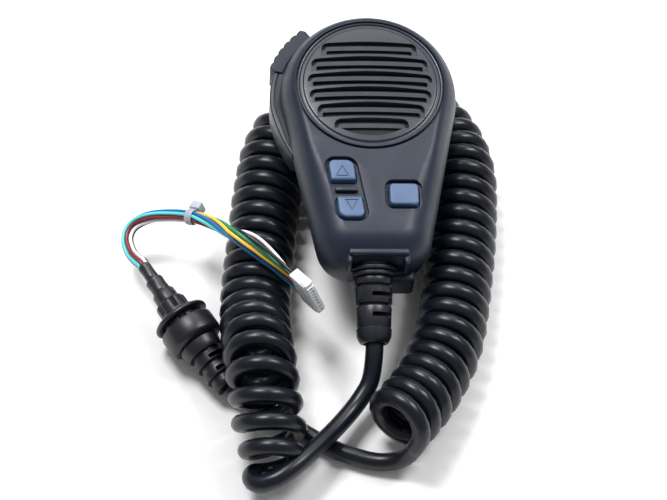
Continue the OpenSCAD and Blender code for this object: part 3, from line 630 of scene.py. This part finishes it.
def make_wire(i):
    """One wire: through the bundle, and then on its own smooth way to its place in the plug."""
    last = len(BUNDLE_ROUTE) - 1
    start = [bundle_point(k / 4, i) for k in range(4 * last + 1)]
    end = PLUG_AT + PLUG_T / 2 * PLUG_SIDE + (PLUG_L / 2 + (PLUG_SLOT[i] - 3.5) * WIRE_PITCH) * PLUG_ALONG
    stub = end - 0.7 * PLUG_OUT
    ways = [(line[-1] - line[-2]).normalized() for line in (BUNDLE_ROUTE, start)]
    way = (ways[0] + ways[1]).normalized()
    p1 = start[-1] + BUNDLE_LEAD * way + 0.7 * (PLUG_SLOT[i] - 3.5) * PLUG_ALONG
    if WIRES[i] == "white":
        p1 += WHITE_LOOP
    p2 = stub - PLUG_LEAD * PLUG_OUT - Vector((0, 0, 0.5 * PLUG_SLOT[i] - 0.04 * PLUG_SLOT[i] ** 2))
    free = [bridge(start[-1], p1, p2, stub, k / 16) for k in range(1, 17)]
    points = spline([start[0] - 2.4 * GROMMET_DIR] + start + free + [end], 0.7)
    name = WIRES[i] + "_wire"
    mat = moulded(WIRES[i] + "_jacket", WIRE_COLOURS[WIRES[i]], 0.34, vary=0.06, bump=0.04)
    wire = curve_object(name + "_curve", points, WIRE_D, mat, 3)
    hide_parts(name)
    return wire, points


wires = [make_wire(i) for i in range(len(WIRES))]


# ---- case shells ----
HEAD_PROFILE = [(16.0, 0.0), (17.6, 0.06), (19.4, 0.3), (21.0, 0.65), (22.4, 1.1), (23.7, 1.65), (24.8, 2.3),
                (25.7, 2.9), (26.5, 3.5), (27.1, 4.1), (27.55, 4.7), (27.85, 5.4), (28.0, 6.2)]
FOOT_PROFILE = [(16.0, 0.0), (17.5, 0.08), (19.0, 0.3), (20.4, 0.65), (21.6, 1.1), (22.8, 1.7), (23.8, 2.4),
                (24.8, 3.2), (25.7, 4.1), (26.4, 5.1), (27.0, 6.1), (27.6, 7.5), (28.0, 9.2)]
REAR_PROFILE = [(0.0, 7.0), (0.2, 6.4), (1.0, 5.45), (1.9, 4.6), (3.0, 3.6), (4.4, 2.7), (6.0, 1.9),
                (8.0, 1.3), (10.0, 0.9), (13.0, 0.55), (16.0, 0.35)]


FOOT_FROM, FOOT_BLEND = 4.0, 26.0


def shell_rings(profile, foot=None):
    """Rings of the case outline at each level; a second profile takes over towards the cord end."""
    rings = []
    for k, (z, drawn_in) in enumerate(profile):
        ring = []
        for (x0, y0), (x1, y1) in zip(WIDE, INNER):
            level, depth = z, drawn_in
            if foot:
                t = smoothstep((FOOT_FROM - y0) / FOOT_BLEND)
                level += (foot[k][0] - z) * t
                depth += (foot[k][1] - drawn_in) * t
            ring.append((x0 + (x1 - x0) * depth, y0 + (y1 - y0) * depth, level))
        rings.append(ring)
    return rings


def cylinder(x, y, r, z0, z1, steps=48):
    return prism(arc((x, y), r, 0, 360 - 360 / steps, steps - 1), z0, z1)


def flared(points_at, z0, z1, flare=0.35):
    """Cutter for an opening in a face at height z1: straight, with a small round at the top."""
    rings = [[(x, y, z0) for x, y in points_at(0.0)]]
    for k in range(5):
        a = math.pi / 2 * k / 4
        grow = flare * (1 - math.cos(a))
        rings.append([(x, y, z1 - flare * (1 - math.sin(a))) for x, y in points_at(grow)])
    rings.append([(x, y, z1 + 3) for x, y in points_at(flare + 0.01)])
    return loft(rings)


UP_CIRCLES = [(-12.4, -6.1, 2.2), (-8.9, -6.9, 3.0), (-6.3, -11.0, 0.8), (-13.1, -11.0, 0.8)]
PAIR = (-8.8, -14.6)
DOWN_CIRCLES = [(2 * PAIR[0] - x, 2 * PAIR[1] - y, r) for x, y, r in UP_CIRCLES]
SELECT_CIRCLES = [(9.6 + sx * 3.25, -16.6 + sy * 2.45, 1.6) for sx in (-1, 1) for sy in (-1, 1)]
KEY_CENTRES = {"up": (-9.7, -8.1), "down": (-7.9, -21.1), "select": (9.6, -16.6)}
CASE_SCREWS = [(-9.5, 47.8), (9.5, 47.8), (-12.2, -30.4), (12.2, -30.4)]
BOARD_SCREWS = [(-15.2, -23.5), (15.2, -23.5), (-18.3, -1.5), (18.3, -1.5)]
SIDE_OUT = Vector((-SIDE_NORMAL[0], SIDE_NORMAL[1], 0.0))
SIDE_DOWN = Vector((-SIDE_NORMAL[1], -SIDE_NORMAL[0], 0.0))
SIDE_START = Vector((0.0, HEAD_Y, 0.0)) + HEAD_R * SIDE_OUT
LEVER_FROM, LEVER_TO = 128.0, 180.0 - SIDE_ANGLE
PIN_AT = SIDE_START - 3.0 * SIDE_OUT + 14.5 * SIDE_DOWN
BOOT = (Matrix.Translation(BOOT_AT) @ Matrix.Rotation(math.radians(90 + BOOT_DROOP), 4, "X"))


def ring_sector(inner, outer, start, end, steps=40):
    inside = arc((0, HEAD_Y), inner, start, end, steps)
    return arc((0, HEAD_Y), outer, start, end, steps) + list(reversed(inside))


def side_place(off, along):
    p = SIDE_START + off * SIDE_OUT + along * SIDE_DOWN
    return (p.x, p.y)


def lever_room(z0, z1):
    head = prism(ring_sector(26.2, 40.0, LEVER_FROM - 3.8, LEVER_TO + 0.5), z0, z1)
    side = prism([side_place(-3.4, -0.5), side_place(12, -0.5), side_place(12, 18.4), side_place(-3.4, 18.4)],
                 z0, z1)
    return [head, side, cylinder(PIN_AT.x, PIN_AT.y, 2.9, z0, z1)]


def boot_cutters():
    return [move(revolve([(0, -30), (5.3, -30), (5.3, 15), (0, 15)], 48), BOOT),
            move(revolve([(0, -12), (7.6, -12), (7.6, -0.5), (0, -0.5)], 48), BOOT),
            move(revolve([(0, 2.8), (6.3, 2.8), (6.3, 14.8), (0, 14.8)], 48), BOOT)]


def key_opening(circles, grow):
    return lambda more: hull_points(circles, grow + more)


def make_front_case():
    body = loft(shell_rings(HEAD_PROFILE, FOOT_PROFILE))
    # ledge over the strain relief with two raised arcs round it
    ledge = rounded_box((-9.0, -39.4, 15.9), (11.2, -33.0, 24.0), 1.0)
    bar = rounded_box((-8.4, -36.9, 23.4), (10.9, -34.8, 25.6), 0.6)
    notch = rounded_box((-7.6, -50.0, 10.0), (9.6, -37.1, 30.0), 1.2)
    arcs = [move(revolve([(5.6, z), (r, z), (r + 0.1, z + 0.3), (r, z + 0.9), (r - 0.35, z + 1.15),
                          (5.6, z + 1.15), (5.6, z)], 72), BOOT) for z, r in ((-0.4, 8.4), (1.2, 7.5))]
    below = box((-30, -60, -10), (30, 0, 16.0))
    arcs = [carve(a, [below.copy()]) for a in arcs]
    below.free()
    body = carve(body, [ledge, bar], "UNION")
    body = carve(body, [notch])
    body = carve(body, arcs, "UNION")
    cut = [hollow([(15.0, 2.2), (20.5, 2.2), (20.5, 4.2), (23.4, 4.2), (23.4, 7.2), (25.8, 8.6)])]
    seat = arc((0, GRILLE_Y), 1.0, 0, 357, 119)

    def seat_at(grow):
        return [(x * (SEAT_R + grow), GRILLE_Y + (y - GRILLE_Y) * (SEAT_R + grow)) for x, y in seat]

    cut.append(flared(seat_at, SEAT_Z, 28.0, 0.55))
    cut.append(cylinder(0, GRILLE_Y, 21.5, 20, 30, 120))
    both = UP_CIRCLES + DOWN_CIRCLES
    cut.append(flared(key_opening(both, 1.0), 26.4, 28.0, 0.35))
    cut.append(flared(key_opening(SELECT_CIRCLES, 1.15), 26.4, 28.0, 0.35))
    for circles in (UP_CIRCLES, DOWN_CIRCLES, SELECT_CIRCLES):
        cut.append(flared(key_opening(circles, 0.3), 22.0, 26.4, 0.15))
    cut += lever_room(15.0, 18.2) + boot_cutters()
    body = carve(body, cut)
    rib = rounded_box((PAIR[0] - 3.6, PAIR[1] - 0.8, 26.2), (PAIR[0] + 3.6, PAIR[1] + 0.8, 27.9), 0.4)
    posts = [screw_post(x, y, 2.3, 0.85, 16.8, 26.1) for x, y in BOARD_SCREWS]
    posts += [screw_post(x, y, 2.5, 1.0, 16.0, 26.1) for x, y in CASE_SCREWS]
    posts.append(screw_post(PIN_AT.x, PIN_AT.y, 2.3, 1.0, 18.2, 25.9))
    within = loft(shell_rings([(z - 0.6 if z > 17 else z, d + 0.5) for z, d in HEAD_PROFILE],
                              [(z - 0.6 if z > 17 else z, d + 0.5) for z, d in FOOT_PROFILE]))
    posts = carve(join(*posts), [within], "INTERSECT")
    shell = finish_mesh("front_shell", join(body, rib, posts), CASE_MAT, crease=32)
    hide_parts("front_case")


def screw_post(x, y, outer, inner, z0, z1):
    post = revolve([(inner, z0), (outer, z0), (outer, z1), (inner, z1), (inner, z0)], 32)
    return move(post, Matrix.Translation((x, y, 0)))


def make_rear_case():
    body = loft(shell_rings(REAR_PROFILE))
    outlet = rounded_box((-6.4, -40.0, 2.2), (13.6, -33.0, 13.0), 1.3)
    body = carve(body, [outlet], "UNION")
    cut = [hollow([(2.2, 5.5), (6.0, 5.5), (6.0, 3.6), (9.0, 3.6), (9.0, 2.4), (17.0, 2.4)])]
    for x, y in CASE_SCREWS:
        cut.append(flared(lambda grow, x=x, y=y: arc((x, y), 2.6 + grow, 0, 352.5, 47), -1, 0.6, 0.1))
    cut += lever_room(6.2, 17.0) + boot_cutters()
    body = carve(body, cut)
    posts = [screw_post(x, y, 2.9, 2.3, 0.3, 6.0) for x, y in CASE_SCREWS]
    posts += [screw_post(x, y, 2.9, 1.3, 6.0, 15.9) for x, y in CASE_SCREWS]
    within = loft(shell_rings([(z, d + 0.25) for z, d in REAR_PROFILE]))
    posts = [carve(join(*posts), [within], "INTERSECT")]
    posts += [screw_post(side * 6.0, -24.8, 2.2, 1.0, 1.8, 9.8) for side in (-1, 1)]
    posts.append(screw_post(0, 0, 4.0, 1.5, 1.0, 8.0))
    shell = finish_mesh("rear_shell", join(body, *posts), CASE_MAT, crease=32)
    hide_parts("rear_case")


make_front_case()
make_rear_case()


# ---- grille ----
GRILLE_Z = SEAT_Z + 0.3
GRILLE_CROWN = 2.25
LOUVRES = 6
LOUVRE_TOP_Y = 13.6
LOUVRE_PITCH = 5.98
LOUVRE_H = 2.5
POCKET_R = 1.9
POCKET_FIELD_R = 20.6
LINE_STEPS = 24
GRILLE_PROFILE = [(0, 0), (GRILLE_R, 0), (GRILLE_R, 1.0), (24.0, 1.2), (23.8, 1.28), (23.55, 1.2),
                  (23.4, 0.95), (23.2, 0.75), (22.6, 0.72), (22.25, 0.85), (22.1, 1.15), (21.9, 1.3),
                  (21.5, 1.36),
                  (18.0, 1.62), (14.5, 1.86), (11.0, 2.04), (7.5, 2.16), (4.0, 2.23), (0, GRILLE_CROWN)]


def bowed(x, y):
    """Louvre line that hangs slightly towards its ends."""
    return (x, y - 0.8 * (x / 20.0) ** 2)


def half_width(y):
    return math.sqrt(POCKET_FIELD_R ** 2 - (y - 0.4) ** 2)


def is_lowest(y):
    return y < LOUVRE_TOP_Y - (LOUVRES - 1.5) * LOUVRE_PITCH


def across(x0, x1, y, ends=False):
    """Points along a level line, with or without its two ends."""
    steps = range(LINE_STEPS + 1) if ends else range(1, LINE_STEPS)
    return [(x0 + (x1 - x0) * k / LINE_STEPS, y) for k in steps]


def pocket_outline(y, grow, low):
    """Outline of one louvre pocket, counter-clockwise from its lower right, with big upper corners."""
    w, top, r = half_width(y) + grow, y + LOUVRE_H + grow, POCKET_R + grow
    points = arc((w - r, top - r), r, 0, 90, 9) + across(w - r, r - w, top)
    points += arc((r - w, top - r), r, 90, 180, 9) + across(-w, w, low, ends=True)
    return [bowed(px, py) for px, py in points]


def hook_outline(y):
    """Dark gap above a louvre bar, which hooks down round the bar's ends."""
    w, top, r, gap, end_gap = half_width(y), y + LOUVRE_H, POCKET_R, 1.4, 0.75
    foot = y - 0.3
    outer = [(w, foot)] + arc((w - r, top - r), r, 0, 90, 9) + across(w - r, r - w, top)
    outer += arc((r - w, top - r), r, 90, 180, 9) + [(-w, foot)]
    inner_r = r - gap + 0.1
    inner = [(w - end_gap, foot)] + arc((w - r - 0.1, top - r - 0.2), inner_r, 0, 90, 6)
    inner += across(w - r, r - w, top - gap)
    inner += arc((r - w + 0.1, top - r - 0.2), inner_r, 90, 180, 6) + [(end_gap - w, foot)]
    return [bowed(px, py) for px, py in outer + list(reversed(inner))]


def slit_outline(y):
    """Dark slot below a louvre bar; the lowest one is cut off round by the grille's rim."""
    w, top, low, r = half_width(y) - 1.6, y - 0.5, y - 2.4, 0.6
    if is_lowest(y):
        w -= 0.2
        rim = [(px, min(top - 0.05, max(-20.4, -math.sqrt(20.3 ** 2 - px ** 2)) + 0.35))
               for px, py in across(-w, w, 0, ends=True)]
        return [bowed(px, py) for px, py in across(w, -w, top, ends=True)] + rim
    points = arc((w - r, top - r), r, 0, 90, 5) + across(w - r, r - w, top)
    points += arc((r - w, top - r), r, 90, 180, 5) + arc((r - w, low + r), r, 180, 270, 5)
    points += across(r - w, w - r, low) + arc((w - r, low + r), r, 270, 360, 5)
    return [bowed(px, py) for px, py in points]


def make_grille():
    disc = revolve(GRILLE_PROFILE, 144)
    cut = []
    for k in range(LOUVRES):
        y = LOUVRE_TOP_Y - LOUVRE_PITCH * k
        surface = GRILLE_CROWN - 0.9 * (y / 21.5) ** 2
        low = y - (0.6 if is_lowest(y) else 2.4)
        cut.append(loft([[(px, py, z) for px, py in pocket_outline(y, g, low)]
                         for z, g in ((surface - 0.75, -0.12), (surface - 0.62, 0.0), (surface - 0.3, 0.05),
                                      (surface + 0.1, 0.3), (4, 0.5))]))
        for outline_points in (hook_outline(y), slit_outline(y)):
            cut.append(prism(outline_points, -1, 3.5))
    disc = carve(disc, cut)
    move(disc, Matrix.Translation((0, GRILLE_Y, GRILLE_Z)))
    grille = finish_mesh("grille_disc", disc, GRILLE_MAT, crease=32)
    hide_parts("grille")


make_grille()


# ---- keys ----
KEY_TOP = 28.5
MARK_SIZE, MARK_LINE, MARK_DEPTH = 3.7, 0.38, 0.3


def triangle(centre, size, pointing, grow):
    x, y = centre
    tip = (x, y + pointing * (size * 0.62 + grow * 1.9))
    wide = size * 0.62 + grow * 1.75
    base = y - pointing * (size * 0.5 + grow)
    return [tip, (x - pointing * wide, base), (x + pointing * wide, base)]


def make_key(name, circles, mark):
    levels = [(23.4, 0.75), (24.8, 0.75), (24.8, -0.15), (KEY_TOP - 0.62, -0.25), (KEY_TOP - 0.36, -0.31),
              (KEY_TOP - 0.16, -0.45), (KEY_TOP - 0.04, -0.67), (KEY_TOP, -0.97)]
    body = loft([[(x, y, z) for x, y in hull_points(circles, grow)] for z, grow in levels])
    if mark:
        centre = (sum(c[0] for c in circles) / 4 + 0.15, sum(c[1] for c in circles) / 4 + 0.25 * mark)
        ring = carve(prism(triangle(centre, MARK_SIZE, mark, 0.0), KEY_TOP - MARK_DEPTH, KEY_TOP + 1),
                     [prism(triangle(centre, MARK_SIZE, mark, -MARK_LINE), KEY_TOP - 1, KEY_TOP + 2)])
        body = carve(body, [ring])
    x, y = KEY_CENTRES[name]
    leg = move(revolve([(0, 21.2), (1.5, 21.2), (1.5, 23.5), (0, 23.5)], 32), Matrix.Translation((x, y, 0)))
    key = finish_mesh(name + "_button", join(body, leg), KEY_MAT, body=name + "_key",
                      crease=40)
    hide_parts(name + "_key")


make_key("up", UP_CIRCLES, 1)
make_key("down", DOWN_CIRCLES, -1)
make_key("select", SELECT_CIRCLES, 0)


# ---- talk lever ----
def inset_ring(points, depth):
    """Closed outline moved inwards by a small depth along its own normals."""
    count = len(points)
    area = sum(points[i][0] * points[(i + 1) % count][1] - points[(i + 1) % count][0] * points[i][1]
               for i in range(count))
    turn = 1.0 if area > 0 else -1.0
    moved = []
    for i in range(count):
        a, b, c = (Vector((*points[j % count], 0.0)) for j in (i - 1, i, i + 1))
        d0, d1 = (b - a).normalized(), (c - b).normalized()
        n = Vector((-(d0.y + d1.y), d0.x + d1.x, 0.0)) * turn
        n = n.normalized() / max(0.5, math.cos(d0.angle(d1, 0.0) / 2))
        moved.append((b.x + n.x * depth, b.y + n.y * depth))
    return moved


def rounded_prism(points, z0, z1, r, steps=4):
    """Prism with rounded edges."""
    turns = [math.pi / 2 * k / steps for k in range(steps + 1)]
    low = [(z0 + r * (1 - math.cos(a)), r * (1 - math.sin(a))) for a in turns]
    high = [(z1 - (z - z0), d) for z, d in reversed(low)]
    return loft([[(x, y, z) for x, y in inset_ring(points, d)] for z, d in low + high])


def make_lever():
    outer = arc((0, HEAD_Y), 30.2, LEVER_FROM, 161.6, 24) + arc((0, HEAD_Y), LEVER_R, 162.2, LEVER_TO, 24)
    straight = []
    for k in range(1, 15):
        t = k / 15
        fall = 3.3 - 0.9 * t - 2.2 * t * t
        straight.append(side_place(fall, 17.0 * t))
    tail = [side_place(0.1, 17.0), side_place(-0.7, 17.15), side_place(-1.4, 16.8), side_place(-1.4, 12.6)]
    inner = list(reversed(arc((0, HEAD_Y), LEVER_INNER_R, LEVER_FROM, LEVER_TO, 30)))
    body = rounded_prism(outer + straight + tail + inner, LEVER_Z, LEVER_Z + LEVER_W, 0.7)
    track = arc((0, HEAD_Y), 31.2, 158, LEVER_TO, 30)
    track += [side_place(1.7 - 1.5 * k / 10, 1.35 * k) for k in range(1, 11)]
    width = 0.3
    ring = []
    for side in (1, -1):
        run = track if side > 0 else list(reversed(track))
        for i, (x, y) in enumerate(run):
            a, b = run[max(i - 1, 0)], run[min(i + 1, len(run) - 1)]
            d = Vector((b[0] - a[0], b[1] - a[1], 0)).normalized()
            ring.append((x - d.y * width, y + d.x * width))
    groove = prism(ring, LEVER_Z + LEVER_W - 0.8, LEVER_Z + LEVER_W + 1)
    shadow = prism(ring, LEVER_Z - 1, LEVER_Z + 0.8)
    body = carve(body, [groove, shadow])
    ear = prism([side_place(-3.0, 12.2), side_place(-0.8, 12.2), side_place(-0.8, 16.8),
                 side_place(-3.0, 16.8)], LEVER_Z + 0.7, LEVER_Z + LEVER_W - 0.7)
    pin_r, knuckle_r, top = 1.05, 2.3, LEVER_Z + LEVER_W
    knuckle = revolve([(pin_r, LEVER_Z), (knuckle_r, LEVER_Z), (knuckle_r, top), (pin_r, top),
                       (pin_r, LEVER_Z)], 40)
    move(knuckle, Matrix.Translation((PIN_AT.x, PIN_AT.y, 0)))
    ear = carve(ear, [cylinder(PIN_AT.x, PIN_AT.y, pin_r, LEVER_Z - 1, top + 1)])
    lever = finish_mesh("lever_blade", join(body, ear, knuckle), LEVER_MAT, body="talk_lever",
                        crease=38)
    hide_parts("talk_lever")
    pad = []
    ribs = 6
    for k in range(121):
        t = k / 120
        a = math.radians(LEVER_FROM + 34.0 * t)
        lobe = abs(math.sin(math.pi * ribs * t)) ** 0.4
        ends = min(1.0, min(t, 1 - t) / 0.05)
        r = LEVER_R + (1.15 + 0.75 * lobe) * (0.3 + 0.7 * ends)
        pad.append((r * math.cos(a), HEAD_Y + r * math.sin(a)))
    inner = list(reversed(arc((0, HEAD_Y), 29.9, LEVER_FROM + 0.2, LEVER_FROM + 33.8, 60)))
    grip = rounded_prism(pad + inner, LEVER_Z - 0.1, LEVER_Z + LEVER_W + 0.35, 0.3, 3)
    grip = finish_mesh("grip_ribs", grip, PAD_MAT, body="talk_lever", crease=38)
    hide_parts("grip_pad")


make_lever()


# ---- strain relief ----
def make_boot():
    mouth = BOOT_L - BOOT_MOUTH
    profile = [(0, -2.8), (7.2, -2.8), (7.4, -2.6), (7.4, -0.8), (7.2, -0.6), (5.25, -0.6), (5.25, 2.7),
               (6.2, 2.7), (6.3, 2.9), (6.2, 4.7), (6.05, 4.9), (4.9, 5.0), (4.9, 5.7), (6.0, 5.8),
               (6.15, 6.0), (5.95, 11.0), (5.8, 11.2), (4.7, 11.3), (4.7, 12.1), (5.75, 12.2),
               (5.85, 12.4), (5.55, 18.4), (5.3, 18.8), (5.3, 19.0), (5.75, 19.3), (5.6, 21.6),
               (5.1, 22.9), (4.5, 23.8), (4.0, BOOT_L), (3.6, BOOT_L - 0.1), (3.4, mouth), (0, mouth)]
    body = revolve(profile, 72)
    windows = [rounded_box((-0.8, 1.0, z), (9.0, 9.0, z + 1.5), 0.3) for z in (7.8, 14.4)]
    body = carve(body, windows)
    move(body, BOOT)
    boot = finish_mesh("boot_moulding", body, BOOT_MAT, crease=38)
    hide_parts("cord_boot")


make_boot()


# ---- panel grommet and what holds the wires ----
GROMMET = (Matrix.Translation(GROMMET_AT) @ Matrix.Rotation(HEADING, 4, "Z")
           @ Matrix.Rotation(math.radians(90) - SLOPE, 4, "Y"))


def make_grommet():
    profile = [(0, 0.9), (8.7, 0.9), (9.15, 0.6), (9.4, 0.2), (9.4, -0.3), (9.1, -0.7), (8.6, -0.9),
               (6.5, -0.9), (6.5, -2.7), (8.5, -2.7), (8.95, -2.9), (9.2, -3.4), (9.2, -8.6), (9.0, -9.3),
               (8.5, -9.9), (7.7, -10.4), (6.5, -10.4), (6.9, -11.0), (6.7, -12.6), (6.3, -14.3),
               (5.9, -14.9), (4.7, -14.9), (4.7, -16.4), (5.65, -16.4), (5.85, -16.7), (5.75, -19.0),
               (5.5, -19.3), (4.5, -19.3), (4.5, -21.0), (5.25, -21.0), (5.4, -21.3), (5.25, -23.9),
               (5.0, -24.2), (4.1, -24.2), (4.1, -26.0), (4.6, -26.1), (4.7, -26.4), (4.35, -28.0),
               (4.0, -RELIEF_L), (0, -RELIEF_L)]

    def turned(cutter, degrees):
        return move(cutter, Matrix.Rotation(math.radians(degrees), 4, "Z"))

    windows = [turned(rounded_box((2.9, -3.0, z), (9.0, 3.0, z + 1.5), 0.3), degrees)
               for degrees in (200, 20) for z in (-18.8, -23.6)]
    windows += [turned(rounded_box((4.9, -2.6, -21.8), (9.0, 2.6, -20.4), 0.3), degrees)
                for degrees in (110, 290)]
    studs = [turned(rounded_box((6.0, -0.9, -2.5), (7.3, 0.9, -1.1), 0.3), 36 * k + 10) for k in range(10)]
    body = move(carve(revolve(profile, 84), windows), GROMMET)
    piece = finish_mesh("grommet_moulding", join(body, move(join(*studs), GROMMET)), GROMMET_MAT,
                        matrix=ROW, crease=36)
    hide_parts("panel_grommet")


def lobed(radius, depth, z, lobes=6, steps=96):
    """Ring of a clamp collar with dips between its lobes."""
    ring = []
    for k in range(steps):
        a = 2 * math.pi * k / steps
        r = radius - depth * max(0.0, math.cos(a * lobes)) ** 3
        ring.append((r * math.cos(a), r * math.sin(a), z))
    return ring


def make_collar():
    rings = [lobed(r, depth, z) for r, depth, z in
             ((5.5, 0.0, 0.9), (5.5, 0.1, 2.4), (5.35, 0.25, 3.2), (5.25, 0.85, 3.6), (5.2, 0.9, 6.4),
              (5.0, 0.9, 7.0), (4.5, 0.6, 7.4), (3.95, 0.0, 7.5), (3.9, 0.0, 10.8), (3.6, 0.0, COLLAR_L))]
    body = move(loft(rings), GROMMET)
    collar = finish_mesh("collar_moulding", body, GROMMET_MAT, matrix=ROW, crease=34)
    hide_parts("clamp_collar")


def make_sleeve(name, node, r, z0, length, squeeze):
    """Heat-shrink sleeve: soft ends, slightly waisted and uneven."""
    rings = []
    for k in range(15):
        t = k / 14
        ends = min(1.0, min(t, 1 - t) / 0.1)
        ring = []
        for j in range(40):
            a = 2 * math.pi * j / 40
            wave = 0.05 * math.sin(3 * a + 5 * t) + 0.04 * math.sin(2 * a - 9 * t)
            radius = r - squeeze * math.sin(math.pi * t) - 0.28 * (1 - ends) + wave * 0.8
            ring.append((radius * math.cos(a), radius * math.sin(a), z0 + length * t))
        rings.append(ring)
    body = move(loft(rings), GROMMET)
    sleeve = finish_mesh(name, body, SLEEVE_MAT, matrix=ROW, crease=40)
    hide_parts(node)


make_grommet()
make_collar()
make_sleeve("sleeve_wide", "large_sleeve", 3.1, COLLAR_L, LARGE_SLEEVE_L, 0.12)
make_sleeve("sleeve_narrow", "small_sleeve", 2.25, COLLAR_L + LARGE_SLEEVE_L, SMALL_SLEEVE_L, 0.08)


# ---- cable tie ----
def make_tie():
    centre = BUNDLE_ROUTE[TIE_INDEX]
    way = (BUNDLE_ROUTE[TIE_INDEX + 1] - BUNDLE_ROUTE[TIE_INDEX - 1]).normalized()
    turned = (Matrix.Translation(centre) @ Matrix.Rotation(math.atan2(way.y, way.x), 4, "Z")
              @ Matrix.Rotation(-math.asin(way.z), 4, "Y") @ Matrix.Rotation(math.radians(90), 4, "Y"))
    band = revolve([(2.25, -1.25), (2.65, -1.25), (2.72, -1.0), (2.72, 1.0), (2.65, 1.25), (2.25, 1.25),
                    (2.25, -1.25)], 56)
    teeth = [move(box((2.66, -0.1, -0.8), (2.8, 0.1, 0.8)), Matrix.Rotation(math.radians(9 * k), 4, "Z"))
             for k in range(40)]
    head = rounded_box((-2.1, 2.5, -2.0), (2.1, 5.6, 2.0), 0.5)
    slot = box((-1.0, 2.0, -1.4), (-0.2, 7.0, 1.4))
    head = carve(head, [slot])
    tail = rounded_box((-0.95, 5.0, -1.2), (-0.25, 6.0, 1.2), 0.2)
    whole = move(join(band, head, tail, *teeth), turned)
    tie = finish_mesh("tie_band", whole, TIE_MAT, matrix=ROW, crease=36)
    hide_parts("cable_tie")


make_tie()


# ---- plug ----
def make_plug():
    turned = Matrix([(*axis, 0) for axis in (PLUG_ALONG, PLUG_SIDE, PLUG_OUT)] + [(*PLUG_AT, 1)]).transposed()
    body = rounded_box((0, 0, 0), (PLUG_L, PLUG_T, PLUG_D - 1.1), 0.25)
    nose = rounded_box((0.9, 0.35, PLUG_D - 2.0), (PLUG_L - 0.9, PLUG_T - 0.35, PLUG_D), 0.2)
    ears = [rounded_box((x, 0.5, PLUG_D - 3.6), (x + 0.9, PLUG_T - 0.5, PLUG_D - 0.5), 0.2)
            for x in (-0.35, PLUG_L - 0.55)]
    body = carve(body, [nose, *ears], "UNION")
    mid = PLUG_T / 2
    ways = [PLUG_L / 2 + (k - (len(WIRES) - 1) / 2) * WIRE_PITCH for k in range(len(WIRES))]
    cut = []
    for x in ways:
        cut.append(box((x - 0.34, mid - 0.45, 3.0), (x + 0.34, mid + 0.45, PLUG_D + 1)))
        cut.append(box((x - 0.4, -0.5, 2.6), (x + 0.4, 0.5, 4.4)))
        cut.append(box((x - 0.35, PLUG_T - 0.4, PLUG_D - 3.0), (x + 0.35, PLUG_T + 1, PLUG_D - 1.7)))
        cut.append(box((x - 0.35, -1, PLUG_D - 3.0), (x + 0.35, 0.4, PLUG_D - 1.7)))
        if x != ways[-1]:
            cut.append(box((x + 0.62, PLUG_T - 0.22, -1), (x + 0.88, PLUG_T + 1, 2.4)))
            cut.append(box((x + 0.62, -1, -1), (x + 0.88, 0.22, 2.4)))
    body = carve(body, cut)
    housing = finish_mesh("plug_shell", move(body, turned), NYLON_MAT, matrix=ROW,
                          crease=36)
    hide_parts("plug_housing")
    pins = []
    for x in ways:
        sleeve = rounded_box((x - 0.3, mid - 0.4, 3.0), (x + 0.3, mid + 0.4, 6.4), 0.12)
        pins.append(carve(sleeve, [box((x - 0.16, mid - 0.22, 5.0), (x + 0.16, mid + 0.22, 9.0))]))
    contacts = finish_mesh("plug_pins", move(join(*pins), turned), BRASS_MAT, matrix=ROW,
                           crease=36)
    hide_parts("plug_contacts")


make_plug()


# ---- light, floor ----
def make_light(name, place_at, power, size):
    """Soft light aimed at the origin."""
    data = bpy.data.lights.new(name, "AREA")
    data.energy = power
    data.shape = "RECTANGLE"
    data.size, data.size_y = size
    lamp = bpy.data.objects.new(name, data)
    lamp.location = place_at
    lamp.rotation_mode = "QUATERNION"
    lamp.rotation_quaternion = (-Vector(place_at)).to_track_quat("-Z", "Y")
    bpy.context.scene.collection.objects.link(lamp)


def make_stage():
    world = bpy.data.worlds.new("world")
    bpy.context.scene.world = world
    world.use_nodes = True
    back = world.node_tree.nodes["Background"]
    back.inputs["Color"].default_value = (1.0, 1.0, 1.0, 1.0)
    back.inputs["Strength"].default_value = 0.34
    bpy.context.scene.view_settings.view_transform = "Standard"
    bm = bmesh.new()
    bmesh.ops.create_grid(bm, x_segments=1, y_segments=1, size=3.0)
    mat, tree, bsdf = shader("floor_paper", (0.90, 0.90, 0.90), 0.9, specular=0.1)
    fine = noise(tree, 900.0)
    shade = ramp(tree, fine.outputs["Fac"], (0.895, 0.895, 0.895), (0.905, 0.905, 0.905))
    tree.links.new(shade.outputs["Color"], bsdf.inputs["Base Color"])
    floor = finish_mesh("floor", bm, mat, body=None, matrix=Matrix.Translation((0, 0, (FLOOR_Z - 0.1) * MM)))
    make_light("top", (-0.30, 0.26, 0.95), 9.0, (0.34, 0.34))
    make_light("right", (0.50, 0.20, 0.80), 5.5, (0.24, 0.36))
    make_light("back", (0.10, 1.00, 1.05), 6.0, (1.0, 0.5))


make_stage()

# ---- materials of the CAD pieces that stay ----
KEPT = [
    (RUBBER_MAT, "case_seal key_mat mic_holder lever_seal"), (CLOTH_MAT, "grille_cloth"),
    (DARK_MAT, "up_plunger down_plunger select_plunger talk_switch"), (BOARD_MAT, "circuit_board"),
    (STEEL_MAT, "key_switches board_screws lever_pin case_screws hanger_screw boot_clamp clamp_screws"),
    (STUD_MAT, "hanger_stud"), (NYLON_MAT, "cord_socket talk_plunger"), (ALU_MAT, "mic_capsule"),
    (CORD_MAT, "inner_cord")]
for material, names in KEPT:
    for name in names.split():
        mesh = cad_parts[name].data
        mesh.materials.clear()
        mesh.materials.append(material)
